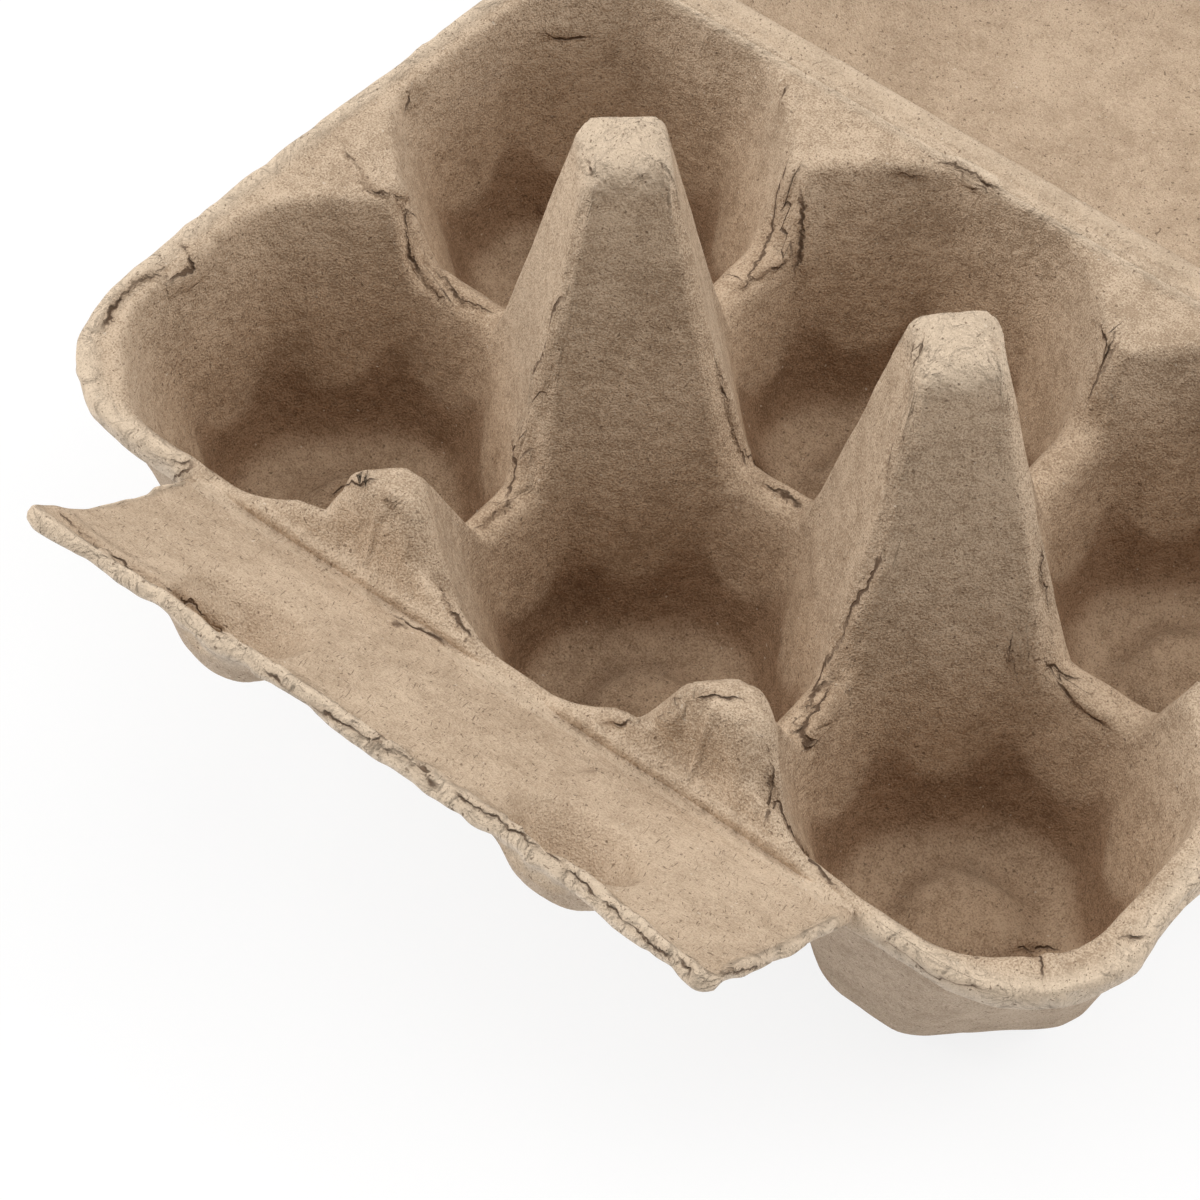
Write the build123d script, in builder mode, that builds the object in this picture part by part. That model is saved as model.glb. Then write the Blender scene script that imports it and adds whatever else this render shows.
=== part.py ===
"""Half-dozen egg carton in moulded pulp, standing open with its lid laid back flat.

Units are millimetres. +Z is up, X runs along the three cells, and the lid opens to +Y.
The origin is the middle of the open carton's footprint, on the table.
"""

import os
from math import cos, radians, sin, sqrt, tan

from build123d import *

os.makedirs("parts", exist_ok=True)

# Sheet of pulp
wall = 2.2

# Cells: an egg cup is an eight-sided well. The apothem is measured to the four walls that
# face along X and Y, the diagonal to the four walls that face the posts.
cell_pitch_x = 48.0
cell_pitch_y = 47.5
cells_long = 3
floor_z = 2.5
knee_z = 9.0
rim_z = 37.0
floor_apothem = 14.0
floor_diagonal = 11.5
floor_corner_r = 3.0
knee_apothem = 18.0
knee_diagonal = 16.5
knee_corner_r = 5.0
rim_apothem = 24.0
rim_diagonal_post = 22.1
rim_diagonal_front = 24.0
rim_diagonal_edge = 25.0
rim_diagonal_corner = 26.7
rim_corner_r = 12.0
top_corner_r = 10.0
foot_recess_r = 7.6
foot_recess_depth = 2.0
foot_recess_taper = 8.0

# Posts and the saddles between the cells
post_clearance = 1.6
post_top_r = 6.3
post_foot_r = 17.8
post_round = 1.2
saddle_z = 26.0
saddle_bar_r = 3.2
saddle_bar_setback = 2.0
saddle_solid_depth = 8.0
hollow_overlap = 3.0
half_post_top_z = 47.5
half_post_top_r = 4.5
half_post_foot_r = 15.0
half_post_setback = 4.0
half_post_lean = 28.0
half_post_dish = 0.5
half_post_face_inset = 0.15
apron_rise = 5.0
apron_top_r = 6.0
apron_foot_r = 20.0
apron_reach = 3.5
edge_post_rim_r = 11.5
edge_post_foot_r = 17.5

# Rim of the tray
rim_margin_x = 4.5
rim_margin_front = 2.55
rim_margin_back = 2.75
rim_corner_outer_r = 16.0
rim_band_x = 16.5
rim_band_y = 11.5
rim_lip = 2.4
rim_lip_depth = 4.0
rim_round = 0.8

# Lid hinge
hinge_gap = 0.15
hinge_lift = 0.15
hinge_flange = 2.95
hinge_draft = 19.0

# Lid
lid_front_draft = 20.0
lid_front_flange = 3.2
lid_end_inset = 4.5
lid_end_draft = 15.0
lid_knee_depth = 20.0
lid_shoulder_slope = 53.6
lid_rim_corner_r = 14.0
lid_knee_corner_r = 12.0
lid_panel_corner_r = 8.0
lid_relief = 2.6

# Closure flap, moulded leaning outward
flap_angle = 31.0
flap_width = 98.5
flap_length = 30.0
flap_gap = 0.25
flap_tray_gap = 0.15
flap_corner_r = 8.0
flap_bead = 1.0
flap_bead_width = 3.4
flap_bead_taper = 30.0
flap_side_clearance = 1.75
tuck_clearance = 0.26

# Buttons on the flap, and the slots of the lid that they snap into
button_reach = 20.0
button_base_x = 20.0
button_base_y = 14.0
button_end_x = 10.0
button_end_y = 6.0
button_depth = 7.0
button_corner_r = 4.0
slot_clearance = 0.5

# Sizes that follow
half_pitch_x = cell_pitch_x / 2
half_pitch_y = cell_pitch_y / 2
wall_draft = (rim_apothem - knee_apothem) / (rim_z - knee_z)
tray_half_x = cell_pitch_x * cells_long / 2 + rim_margin_x
hinge_y = cell_pitch_y + rim_margin_back + hinge_gap
hinge_z = rim_z + hinge_lift
tray_back_y = cell_pitch_y + rim_margin_back
fold_y = -cell_pitch_y - rim_margin_front - flap_tray_gap
tray_front_y = fold_y + flap_tray_gap
# The open lid lies on the table, and shut it just clears the posts.
lid_depth = rim_z - wall
post_top_z = rim_z + 2 * hinge_lift + lid_depth - post_clearance
lid_back_y = hinge_y + hinge_gap
# The lid's front wall comes down in front of the flap when that is tucked in.
lid_front_reach = hinge_y - fold_y + wall / cos(radians(lid_front_draft)) + tuck_clearance
lid_front_y = hinge_y + lid_front_reach + lid_front_flange
flap_edge_y = fold_y - flap_length * cos(radians(flap_angle)) - wall * sin(radians(flap_angle))

# The tray's own centre lies behind the origin, which is the middle of the open footprint.
tray_y = -(lid_front_y + flap_edge_y) / 2


def along(y):
    """Give the part's Y of a place measured from the tray's centre."""
    return tray_y + y


def wall_grow(run, rise):
    """Sideways growth of a leaning wall when it is offset by the sheet's thickness."""
    return wall * sqrt(1 + (run / rise) ** 2)


def rim_diagonal(column, row, side_x, side_y):
    """Diagonal at the rim of one corner of a cell: free post, rim half-post or carton corner."""
    at_end = abs(column + side_x / 2) > (cells_long - 1) / 2
    at_edge = row == side_y
    if at_end and at_edge:
        return rim_diagonal_corner
    if at_edge and row < 0:
        return rim_diagonal_front
    if at_end or at_edge:
        return rim_diagonal_edge
    return rim_diagonal_post


def cup(column, row, grown):
    """Make the well of one cell, or with grown set the same well offset by the sheet.

    The walls run straight from the knee on up past the rim, so that the neighbouring
    wells leave the posts standing between them.
    """
    center = (column * cell_pitch_x, along(row * half_pitch_y))
    corners = ((1, 1), (-1, 1), (-1, -1), (1, -1))
    foot_slope = (knee_apothem - floor_apothem) / (knee_z - floor_z)
    foot_slope_d = (knee_diagonal - floor_diagonal) / (knee_z - floor_z)
    foot_grow = wall_grow(foot_slope, 1)
    side_grow = wall_grow(wall_draft, 1)
    # The offset wall and foot meet a little lower than the knee itself.
    knee_drop = (foot_grow - side_grow) / (foot_slope - wall_draft)

    extra = wall if grown else 0
    levels = (
        (0 if grown else floor_z, floor_corner_r),
        (knee_z - knee_drop if grown else knee_z, knee_corner_r),
        (rim_z, rim_corner_r),
        (post_top_z + wall, top_corner_r),
    )

    with BuildPart() as well:
        for z, corner_r in levels:
            on_foot = z < knee_z - knee_drop
            if on_foot:
                apothem = floor_apothem + foot_slope * (z - floor_z)
                apothem += foot_grow if grown else 0
            else:
                apothem = knee_apothem + wall_draft * (z - knee_z)
                apothem += side_grow if grown else 0
            points = []
            for side_x, side_y in corners:
                rim_value = rim_diagonal(column, row, side_x, side_y)
                slope = (rim_value - knee_diagonal) / (rim_z - knee_z)
                if on_foot:
                    diagonal = floor_diagonal + foot_slope_d * (z - floor_z)
                    diagonal += wall_grow(foot_slope_d, 1) if grown else 0
                else:
                    diagonal = knee_diagonal + slope * (z - knee_z)
                    diagonal += wall_grow(slope, 1) if grown else 0
                reach = diagonal * sqrt(2) - apothem
                pair = [(side_x * apothem, side_y * reach), (side_x * reach, side_y * apothem)]
                points += pair if side_x == side_y else pair[::-1]
            with BuildSketch(Plane(origin=(*center, z))) as section:
                with BuildLine():
                    Polyline(*points, close=True)
                make_face()
                fillet(section.vertices(), radius=corner_r + extra)
        loft(ruled=True)
    return well.part


def cone_between(x, y, low_z, low_r, high_z, high_r):
    """Make an upright tapered core, the round trim of a post."""
    with BuildPart() as core:
        with BuildSketch(Plane(origin=(x, along(y), low_z))):
            Circle(low_r)
        with BuildSketch(Plane(origin=(x, along(y), high_z))):
            Circle(high_r)
        loft(ruled=True)
    return core.part


def front_void(setback, low_z):
    """Make the block in front of the leaning, slightly dished faces of the half-posts."""
    reach = post_top_z - low_z
    lean = tan(radians(half_post_lean))
    foot_y = tray_front_y + half_post_face_inset + setback
    foot = (along(foot_y), low_z)
    top = (along(foot_y + reach * lean), low_z + reach)
    middle = (
        along(foot_y + reach * lean / 2 + half_post_dish),
        low_z + reach / 2,
    )
    with BuildPart() as void:
        with BuildSketch(Plane.YZ):
            with BuildLine():
                ThreePointArc(foot, middle, top)
                Polyline(top, (along(flap_edge_y), top[1]), (along(flap_edge_y), low_z), foot)
            make_face()
        extrude(amount=cell_pitch_x * cells_long / 2, both=True)
    return void.part


columns = [index - (cells_long - 1) / 2 for index in range(cells_long)]
gaps_x = [index + 0.5 for index in columns[:-1]]
ends_x = [columns[0] - 0.5, columns[-1] + 0.5]
saddle_axis_z = saddle_z - saddle_bar_r
hollow_foot_z = saddle_z - saddle_solid_depth - hollow_overlap
tray_mid_y = (tray_front_y + tray_back_y) / 2
tray_size_y = tray_back_y - tray_front_y
band_inner_x = 2 * (tray_half_x - rim_band_x)
band_inner_y = 2 * (cell_pitch_y - rim_band_y)
below = -1.0

# Everything below the tray's upper surface, before the wells are cut into it
with BuildPart() as upper:
    with BuildSketch(Plane(origin=(0, along(tray_mid_y), below / 2))):
        RectangleRounded(2 * tray_half_x, tray_size_y, rim_corner_outer_r)
    extrude(amount=saddle_axis_z - below / 2)
    with BuildSketch(Plane(origin=(0, along(tray_mid_y), saddle_axis_z))):
        RectangleRounded(2 * tray_half_x, tray_size_y, rim_corner_outer_r)
    extrude(amount=rim_z - saddle_axis_z)
    fillet(upper.faces().sort_by(Axis.Z)[-1].edges(), radius=rim_round)
    with BuildSketch(Plane(origin=(0, along(0), saddle_axis_z))):
        Rectangle(band_inner_x, band_inner_y)
    extrude(amount=rim_z, mode=Mode.SUBTRACT)
    # Rounded saddles between neighbouring cells
    with BuildSketch(Plane(origin=(0, along(0), saddle_axis_z), z_dir=(1, 0, 0))):
        Circle(saddle_bar_r)
    extrude(amount=tray_half_x - rim_margin_x, both=True)
    for gap in gaps_x:
        with BuildSketch(Plane(origin=(gap * cell_pitch_x, along(0), saddle_axis_z), z_dir=(0, 1, 0))):
            Circle(saddle_bar_r)
        extrude(amount=cell_pitch_y - saddle_bar_setback, both=True)
    # Half-posts that stop flat at the rim, at the back and at both ends
    for gap in gaps_x:
        add(cone_between(gap * cell_pitch_x, cell_pitch_y, saddle_axis_z, edge_post_foot_r, rim_z, edge_post_rim_r))
    for end in ends_x:
        add(cone_between(end * cell_pitch_x, 0, saddle_axis_z, edge_post_foot_r, rim_z, edge_post_rim_r))
    # Keep the half-posts inside the rim's own outline
    with BuildSketch(Plane(origin=(0, along(tray_mid_y), below / 2))):
        RectangleRounded(2 * tray_half_x, tray_size_y, rim_corner_outer_r)
    extrude(amount=post_top_z, mode=Mode.INTERSECT)

# Low aprons along the fold, from which the front half-posts rise
with BuildPart() as aprons:
    for gap in gaps_x:
        x = gap * cell_pitch_x
        add(cone_between(x, -cell_pitch_y, rim_z - wall, apron_foot_r, rim_z + apron_rise, apron_top_r))
    with BuildSketch(Plane(origin=(0, along(-cell_pitch_y), 0))):
        Rectangle(2 * tray_half_x, 2 * apron_reach)
    extrude(amount=post_top_z, mode=Mode.INTERSECT)

# Front half-posts, which stand above the rim behind the flap
with BuildPart() as front_posts:
    add(aprons.part)
    for gap in gaps_x:
        add(
            cone_between(
                gap * cell_pitch_x,
                -cell_pitch_y + half_post_setback,
                saddle_axis_z,
                half_post_foot_r,
                half_post_top_z,
                half_post_top_r,
            )
        )
    add(front_void(0, rim_z), mode=Mode.SUBTRACT)
    with BuildSketch(Plane(origin=(0, along(tray_mid_y), below / 2))):
        RectangleRounded(2 * tray_half_x, tray_size_y, rim_corner_outer_r)
    extrude(amount=post_top_z, mode=Mode.INTERSECT)

# Everything below the tray's lower surface: the air under the saddles, posts and rim
with BuildPart() as front_hollow:
    for gap in gaps_x:
        add(
            cone_between(
                gap * cell_pitch_x,
                -cell_pitch_y + half_post_setback,
                saddle_axis_z - wall,
                half_post_foot_r - wall,
                half_post_top_z - wall,
                half_post_top_r - wall,
            )
        )
    add(front_void(wall_grow(tan(radians(half_post_lean)), 1), rim_z - wall), mode=Mode.SUBTRACT)

with BuildPart() as lower:
    with BuildSketch(Plane(origin=(0, along(tray_mid_y), below))):
        Rectangle(2 * tray_half_x + 2 * wall, tray_size_y + 2 * wall)
    extrude(amount=saddle_z - saddle_solid_depth - below)
    with BuildSketch(Plane(origin=(0, along(tray_mid_y), below))):
        Rectangle(2 * tray_half_x + 2 * wall, tray_size_y + 2 * wall)
        Rectangle(band_inner_x + 2 * wall, band_inner_y + 2 * wall, mode=Mode.SUBTRACT)
    extrude(amount=rim_z - rim_lip_depth - below)
    with BuildSketch(Plane(origin=(0, along(tray_mid_y), below))):
        RectangleRounded(
            2 * (tray_half_x - rim_lip),
            tray_size_y - 2 * rim_lip,
            rim_corner_outer_r - rim_lip,
        )
        Rectangle(band_inner_x + 2 * wall, band_inner_y + 2 * wall, mode=Mode.SUBTRACT)
    extrude(amount=rim_z - wall - below)
    edge_foot_r = edge_post_foot_r - wall
    edge_rim_r = edge_post_rim_r - wall
    for gap in gaps_x:
        x = gap * cell_pitch_x
        foot_z = saddle_axis_z - wall - hollow_overlap
        add(cone_between(x, 0, foot_z, post_foot_r - wall, post_top_z - wall, post_top_r - wall))
        add(cone_between(x, cell_pitch_y, hollow_foot_z, edge_foot_r, rim_z - wall, edge_rim_r))
    for end in ends_x:
        add(cone_between(end * cell_pitch_x, 0, hollow_foot_z, edge_foot_r, rim_z - wall, edge_rim_r))
    add(front_hollow.part)
    for column in columns:
        for row in (-1, 1):
            add(cup(column, row, True), mode=Mode.SUBTRACT)
    # Shallow recess under each foot
    with BuildSketch(Plane(origin=(0, along(0), below))):
        with GridLocations(cell_pitch_x, cell_pitch_y, cells_long, 2):
            Circle(foot_recess_r)
    extrude(amount=foot_recess_depth - below, taper=foot_recess_taper)

with BuildPart() as tray:
    add(upper.part)
    add(front_posts.part)
    # Free-standing posts between the four cells round them
    for gap in gaps_x:
        add(cone_between(gap * cell_pitch_x, 0, saddle_axis_z, post_foot_r, post_top_z, post_top_r))
    for column in columns:
        for row in (-1, 1):
            add(cup(column, row, False), mode=Mode.SUBTRACT)
    # The floor rises over each recess
    with BuildSketch(Plane(origin=(0, along(0), floor_z - wall / 2))):
        with GridLocations(cell_pitch_x, cell_pitch_y, cells_long, 2):
            Circle(foot_recess_r + wall / 2)
    extrude(amount=foot_recess_depth + wall / 2, taper=foot_recess_taper)
    add(lower.part, mode=Mode.SUBTRACT)
    fillet(tray.faces().sort_by(Axis.Z).group_by(Axis.Z)[-1].edges(), radius=post_round)
tray.part.label = "tray"


def lid_level(depth, grown):
    """Half length, near Y, far Y and corner radius of the lid's inside at one depth.

    With grown set, the same for the outside, which is the inside offset by the sheet.
    """
    shoulder = tan(radians(lid_shoulder_slope))
    end = tan(radians(lid_end_draft))
    half_x = tray_half_x - lid_end_inset
    grow_end = wall_grow(end, 1) if grown else 0
    grow_shoulder = wall_grow(shoulder, 1) if grown else 0
    by_end = half_x - depth * end + grow_end
    by_shoulder = half_x - lid_knee_depth * end - (depth - lid_knee_depth) * shoulder + grow_shoulder
    near = lid_back_y + hinge_flange + depth * tan(radians(hinge_draft))
    far = hinge_y + lid_front_reach - depth * tan(radians(lid_front_draft))
    if grown:
        near -= wall_grow(tan(radians(hinge_draft)), 1)
        far += wall_grow(tan(radians(lid_front_draft)), 1)
    return min(by_end, by_shoulder), near, far


def lid_shell(grown):
    """Make the lid's inside as a solid, or with grown set its outside."""
    shoulder = tan(radians(lid_shoulder_slope))
    end = tan(radians(lid_end_draft))
    bottom = lid_depth + wall if grown else lid_depth
    knee = lid_knee_depth
    if grown:
        knee += (wall_grow(shoulder, 1) - wall_grow(end, 1)) / (shoulder - end)
    top = 0 if grown else -wall
    extra = wall if grown else 0
    with BuildPart() as shell:
        for depth, corner_r in ((top, lid_rim_corner_r), (knee, lid_knee_corner_r), (bottom, lid_panel_corner_r)):
            half_x, near, far = lid_level(depth, grown)
            with BuildSketch(Plane(origin=(0, along((near + far) / 2), rim_z - depth))):
                RectangleRounded(2 * half_x, far - near, corner_r + extra)
        loft(ruled=True)
    return shell.part


def button(size_x, size_y, end_x, end_y, corner_r, top, bottom):
    """Make the two tapered plugs of the flap's buttons, in the flap's own plane."""
    with BuildPart() as plugs:
        for side in (-1, 1):
            place = (side * half_pitch_x, along(fold_y), rim_z)
            for depth, width, height, radius in ((top, size_x, size_y, corner_r), (bottom, end_x, end_y, corner_r / 2)):
                plane = Plane(origin=place, x_dir=(1, 0, 0), z_dir=flap_normal)
                with BuildSketch(plane.offset(-depth)):
                    with Locations((0, -button_reach)):
                        RectangleRounded(width, height, radius)
            loft(ruled=True)
    return plugs.part


flap_normal = (0, sin(radians(flap_angle)), cos(radians(flap_angle)))
flap_plane = Plane(origin=(0, along(fold_y), rim_z), x_dir=(1, 0, 0), z_dir=flap_normal)
button_slope_x = (button_base_x - button_end_x) / 2 / button_depth
button_slope_y = (button_base_y - button_end_y) / 2 / button_depth
outer_base_x = button_base_x + 2 * wall_grow(button_slope_x, 1)
outer_base_y = button_base_y + 2 * wall_grow(button_slope_y, 1)
outer_depth = button_depth + wall
outer_end_x = outer_base_x - 2 * outer_depth * button_slope_x
outer_end_y = outer_base_y - 2 * outer_depth * button_slope_y
outer_corner_r = button_corner_r + wall / 2

with BuildPart() as closure_flap:
    with BuildSketch(flap_plane) as outline:
        with Locations((0, -(flap_length + flap_gap) / 2)):
            Rectangle(flap_width, flap_length - flap_gap)
        fillet(outline.vertices().group_by(Axis.Y)[0], radius=flap_corner_r)
    extrude(amount=-wall)
    # Rolled bead along the free edge, on the side that ends up inside the lid
    with BuildSketch(flap_plane) as bead:
        with Locations((0, -flap_length + flap_bead_width / 2)):
            Rectangle(flap_width - 2 * flap_corner_r, flap_bead_width)
    extrude(amount=flap_bead, taper=flap_bead_taper)
    add(button(outer_base_x, outer_base_y, outer_end_x, outer_end_y, outer_corner_r, 0, outer_depth))
    add(
        button(
            button_base_x + 2 * button_slope_x * wall,
            button_base_y + 2 * button_slope_y * wall,
            button_end_x,
            button_end_y,
            button_corner_r,
            -wall,
            button_depth,
        ),
        mode=Mode.SUBTRACT,
    )
closure_flap.part.label = "closure_flap"

# The slots lie where the buttons come to when the flap is tucked in and the lid is shut.
tuck_lean = radians(lid_front_draft)
slot_height = button_reach * cos(tuck_lean) + wall * sin(tuck_lean)
slot_z = 2 * hinge_z - (rim_z + slot_height)
slot_y = 2 * hinge_y - (fold_y + button_reach * sin(tuck_lean) - wall * cos(tuck_lean))
slot_x_size = outer_base_x - 2 * wall * button_slope_x + 2 * slot_clearance
slot_y_size = outer_base_y - 2 * wall * button_slope_y + 2 * slot_clearance
slot_normal = (0, cos(tuck_lean), -sin(tuck_lean))

with BuildPart() as lid:
    add(lid_shell(True))
    with BuildSketch(Plane(origin=(0, along((lid_back_y + lid_front_y) / 2), rim_z - wall))):
        RectangleRounded(2 * tray_half_x, lid_front_y - lid_back_y, rim_corner_outer_r)
    extrude(amount=wall)
    fillet(lid.faces().sort_by(Axis.Z)[-1].edges(), radius=rim_round)
    add(lid_shell(False), mode=Mode.SUBTRACT)
    # The front lip is cut back, so that it clears the flap's fold
    with BuildSketch(Plane(origin=(0, along(lid_front_y), rim_z - lid_relief))):
        Rectangle(flap_width + 2 * flap_side_clearance, 2 * (lid_front_flange + 2 * wall))
    extrude(amount=2 * lid_relief, mode=Mode.SUBTRACT)
    # Two slots for the flap's buttons
    with BuildSketch(Plane(origin=(0, along(slot_y), slot_z), x_dir=(1, 0, 0), z_dir=slot_normal)):
        with GridLocations(cell_pitch_x, 0, 2, 1):
            RectangleRounded(slot_x_size, slot_y_size, outer_corner_r)
    extrude(amount=3 * wall, both=True, mode=Mode.SUBTRACT)
lid.part.label = "lid"

export_step(tray.part, "parts/tray.step")
export_step(lid.part, "parts/lid.step")
export_step(closure_flap.part, "parts/closure_flap.step")
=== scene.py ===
"""Looks of the half-dozen egg carton in moulded pulp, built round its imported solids.

Lengths are millimetres, measured from the middle of the tray's footprint with X along the
three cells, and turned into metres in the row frame where a mesh is made.
"""

import logging
from dataclasses import dataclass, field
from enum import Enum

import bmesh
import bpy
import numpy as np
from mathutils import Matrix, Vector
from mathutils.bvhtree import BVHTree

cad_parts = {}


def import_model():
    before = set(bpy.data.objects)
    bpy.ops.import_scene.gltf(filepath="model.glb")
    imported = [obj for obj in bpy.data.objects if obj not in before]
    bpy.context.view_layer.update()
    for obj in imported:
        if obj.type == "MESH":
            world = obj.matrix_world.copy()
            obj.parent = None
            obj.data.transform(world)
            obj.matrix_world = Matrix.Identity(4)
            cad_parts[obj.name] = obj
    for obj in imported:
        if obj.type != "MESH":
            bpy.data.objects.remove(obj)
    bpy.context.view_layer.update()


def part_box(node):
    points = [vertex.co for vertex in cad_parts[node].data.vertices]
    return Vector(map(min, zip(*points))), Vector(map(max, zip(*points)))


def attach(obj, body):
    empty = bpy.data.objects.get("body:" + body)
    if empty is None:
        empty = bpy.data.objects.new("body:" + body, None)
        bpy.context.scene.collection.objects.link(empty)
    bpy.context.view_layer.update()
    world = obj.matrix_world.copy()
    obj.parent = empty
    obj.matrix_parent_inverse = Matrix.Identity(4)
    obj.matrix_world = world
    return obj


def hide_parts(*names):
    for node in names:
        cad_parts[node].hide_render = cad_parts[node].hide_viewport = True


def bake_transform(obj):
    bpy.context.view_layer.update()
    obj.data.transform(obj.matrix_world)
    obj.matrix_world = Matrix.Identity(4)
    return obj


LOG = logging.getLogger("carton")
MM = 0.001
SEED = 20
PITCH_X = 48.0
PITCH_Y = 47.5
Array = np.ndarray
Cell = tuple[int, int]
Pair = tuple[float, float]
Triple = tuple[float, float, float]
Socket = bpy.types.NodeSocket


class Side(Enum):
    """The two faces of the sheet of pulp."""

    UPPER = 1
    LOWER = -1


def smoothstep(low: float, high: float, value: Array) -> Array:
    """Rise from 0 at low to 1 at high as 3t^2 - 2t^3.

    Args:
        low: Where the rise starts.
        high: Where it ends; below low for a fall.
        value: Any array.

    Returns:
        An array like value, from 0 to 1.
    """
    t = np.clip((value - low) / (high - low), 0.0, 1.0)
    return t * t * (3.0 - 2.0 * t)


@dataclass
class Noise:
    """Smooth value noise: random numbers on a lattice, blended with 3t^2 - 2t^3 along each axis."""

    seed: int
    size: int = 32
    table: Array = field(init=False)

    def __post_init__(self) -> None:
        """Draw the lattice's numbers, from -1 to 1."""
        rng = np.random.default_rng(self.seed)
        self.table = rng.uniform(-1.0, 1.0, (self.size,) * 3)

    def at(self, points: Array, period: float) -> Array:
        """Read the noise at points, with one lattice step each period.

        Args:
            points: Array (..., 3) in millimetres.
            period: Size of the lumps in millimetres.

        Returns:
            Array (...) from -1 to 1.
        """
        scaled = points / period + 7.3
        base = np.floor(scaled).astype(int)
        t = scaled - base
        t = t * t * (3.0 - 2.0 * t)
        total = np.zeros(points.shape[:-1])
        for corner in np.ndindex(2, 2, 2):
            index = (base + corner) % self.size
            weight = np.prod(np.where(corner, t, 1.0 - t), axis=-1)
            total += weight * self.table[index[..., 0], index[..., 1], index[..., 2]]
        return total

    def vector(self, points: Array, period: float) -> Array:
        """Three independent readings of the noise, as a vector field (..., 3)."""
        shifts = (np.zeros(3), np.array([11.7, 3.1, 5.9]) * period, np.array([4.3, 17.9, 8.3]) * period)
        return np.stack([self.at(points + shift, period) for shift in shifts], axis=-1)


def run_length(path: Array) -> Array:
    """Distance along a path, from its start to each of its points (n, values)."""
    return np.concatenate([[0.0], np.cumsum(np.linalg.norm(np.diff(path, axis=0), axis=1))])


def space_out(path: Array, count: int) -> Array:
    """Spread count points evenly along a path (n, values), by straight lines between its points."""
    length = run_length(path)
    wanted = np.linspace(0.0, length[-1], count)
    return np.stack([np.interp(wanted, length, values) for values in path.T], axis=-1)


def resample(rows: Array, weight: Array, count: int) -> Array:
    """Spread count samples along each row of points, evenly in weighted arc length.

    Every row's running length is shifted past the row before it, so that one call of
    np.interp serves all rows.

    Args:
        rows: Array (rows, samples, values), each row a path.
        weight: Array (rows, samples - 1), how densely each stretch is sampled.
        count: Samples wanted per row.

    Returns:
        Array (rows, count, values).
    """
    step = np.linalg.norm(np.diff(rows, axis=1), axis=-1) * weight + 1e-9
    length = np.concatenate([np.zeros((len(rows), 1)), np.cumsum(step, axis=1)], axis=1)
    shift = np.concatenate([[0.0], np.cumsum(length[:-1, -1] + 1.0)])[:, None]
    wanted = np.linspace(0.0, 1.0, count)[None, :] * length[:, -1:] + shift
    known = (length + shift).ravel()
    parts = [np.interp(wanted.ravel(), known, rows[..., k].ravel()) for k in range(rows.shape[-1])]
    return np.stack(parts, axis=-1).reshape(len(rows), count, -1)


def relax(path: Array, mirror: Array, spread: Array, rounds: int = 160) -> Array:
    """Round the corners of each path by diffusion, with both ends mirrored.

    Each round adds w (p[k-1] - 2 p[k] + p[k+1]) with w = spread^2 / (2 rounds step^2), which
    blurs the path by spread millimetres.

    Args:
        path: Array (rows, samples, 2) of reach and height, evenly sampled.
        mirror: Array (rows,), the reach of the plane that the far end is mirrored in.
        spread: Array (rows, samples), the blur at each sample.
        rounds: How many small steps the blur takes.

    Returns:
        The rounded paths, as an array like path.
    """
    path = path.copy()
    step = np.linalg.norm(np.diff(path, axis=1), axis=-1).mean(axis=1)
    rate = np.clip(spread**2 / (2 * rounds * step[:, None] ** 2), 0.0, 0.45)[..., None]
    for _ in range(rounds):
        before = np.concatenate([path[:, 1:2] * [-1.0, 1.0], path[:, :-1]], axis=1)
        last = path[:, -2:-1].copy()
        last[..., 0] = 2 * mirror[:, None] - last[..., 0]
        after = np.concatenate([path[:, 1:], last], axis=1)
        path += rate * (before - 2 * path + after)
    return path


def grid_faces(rows: int, columns: int, flip: bool = False, wrap: bool = False) -> Array:
    """Index the quads of a grid of rows by columns points, counted row by row.

    Args:
        rows: Points along the first parameter.
        columns: Points along the second parameter.
        flip: Turn every face over.
        wrap: Join the last row to the first.

    Returns:
        Array (faces, 4) of point numbers.
    """
    index = np.arange(rows * columns).reshape(rows, columns)
    if wrap:
        index = np.concatenate([index, index[:1]])
    quads = np.stack([index[:-1, :-1], index[:-1, 1:], index[1:, 1:], index[1:, :-1]], axis=-1)
    quads = quads.reshape(-1, 4)
    return quads[:, ::-1] if flip else quads


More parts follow.
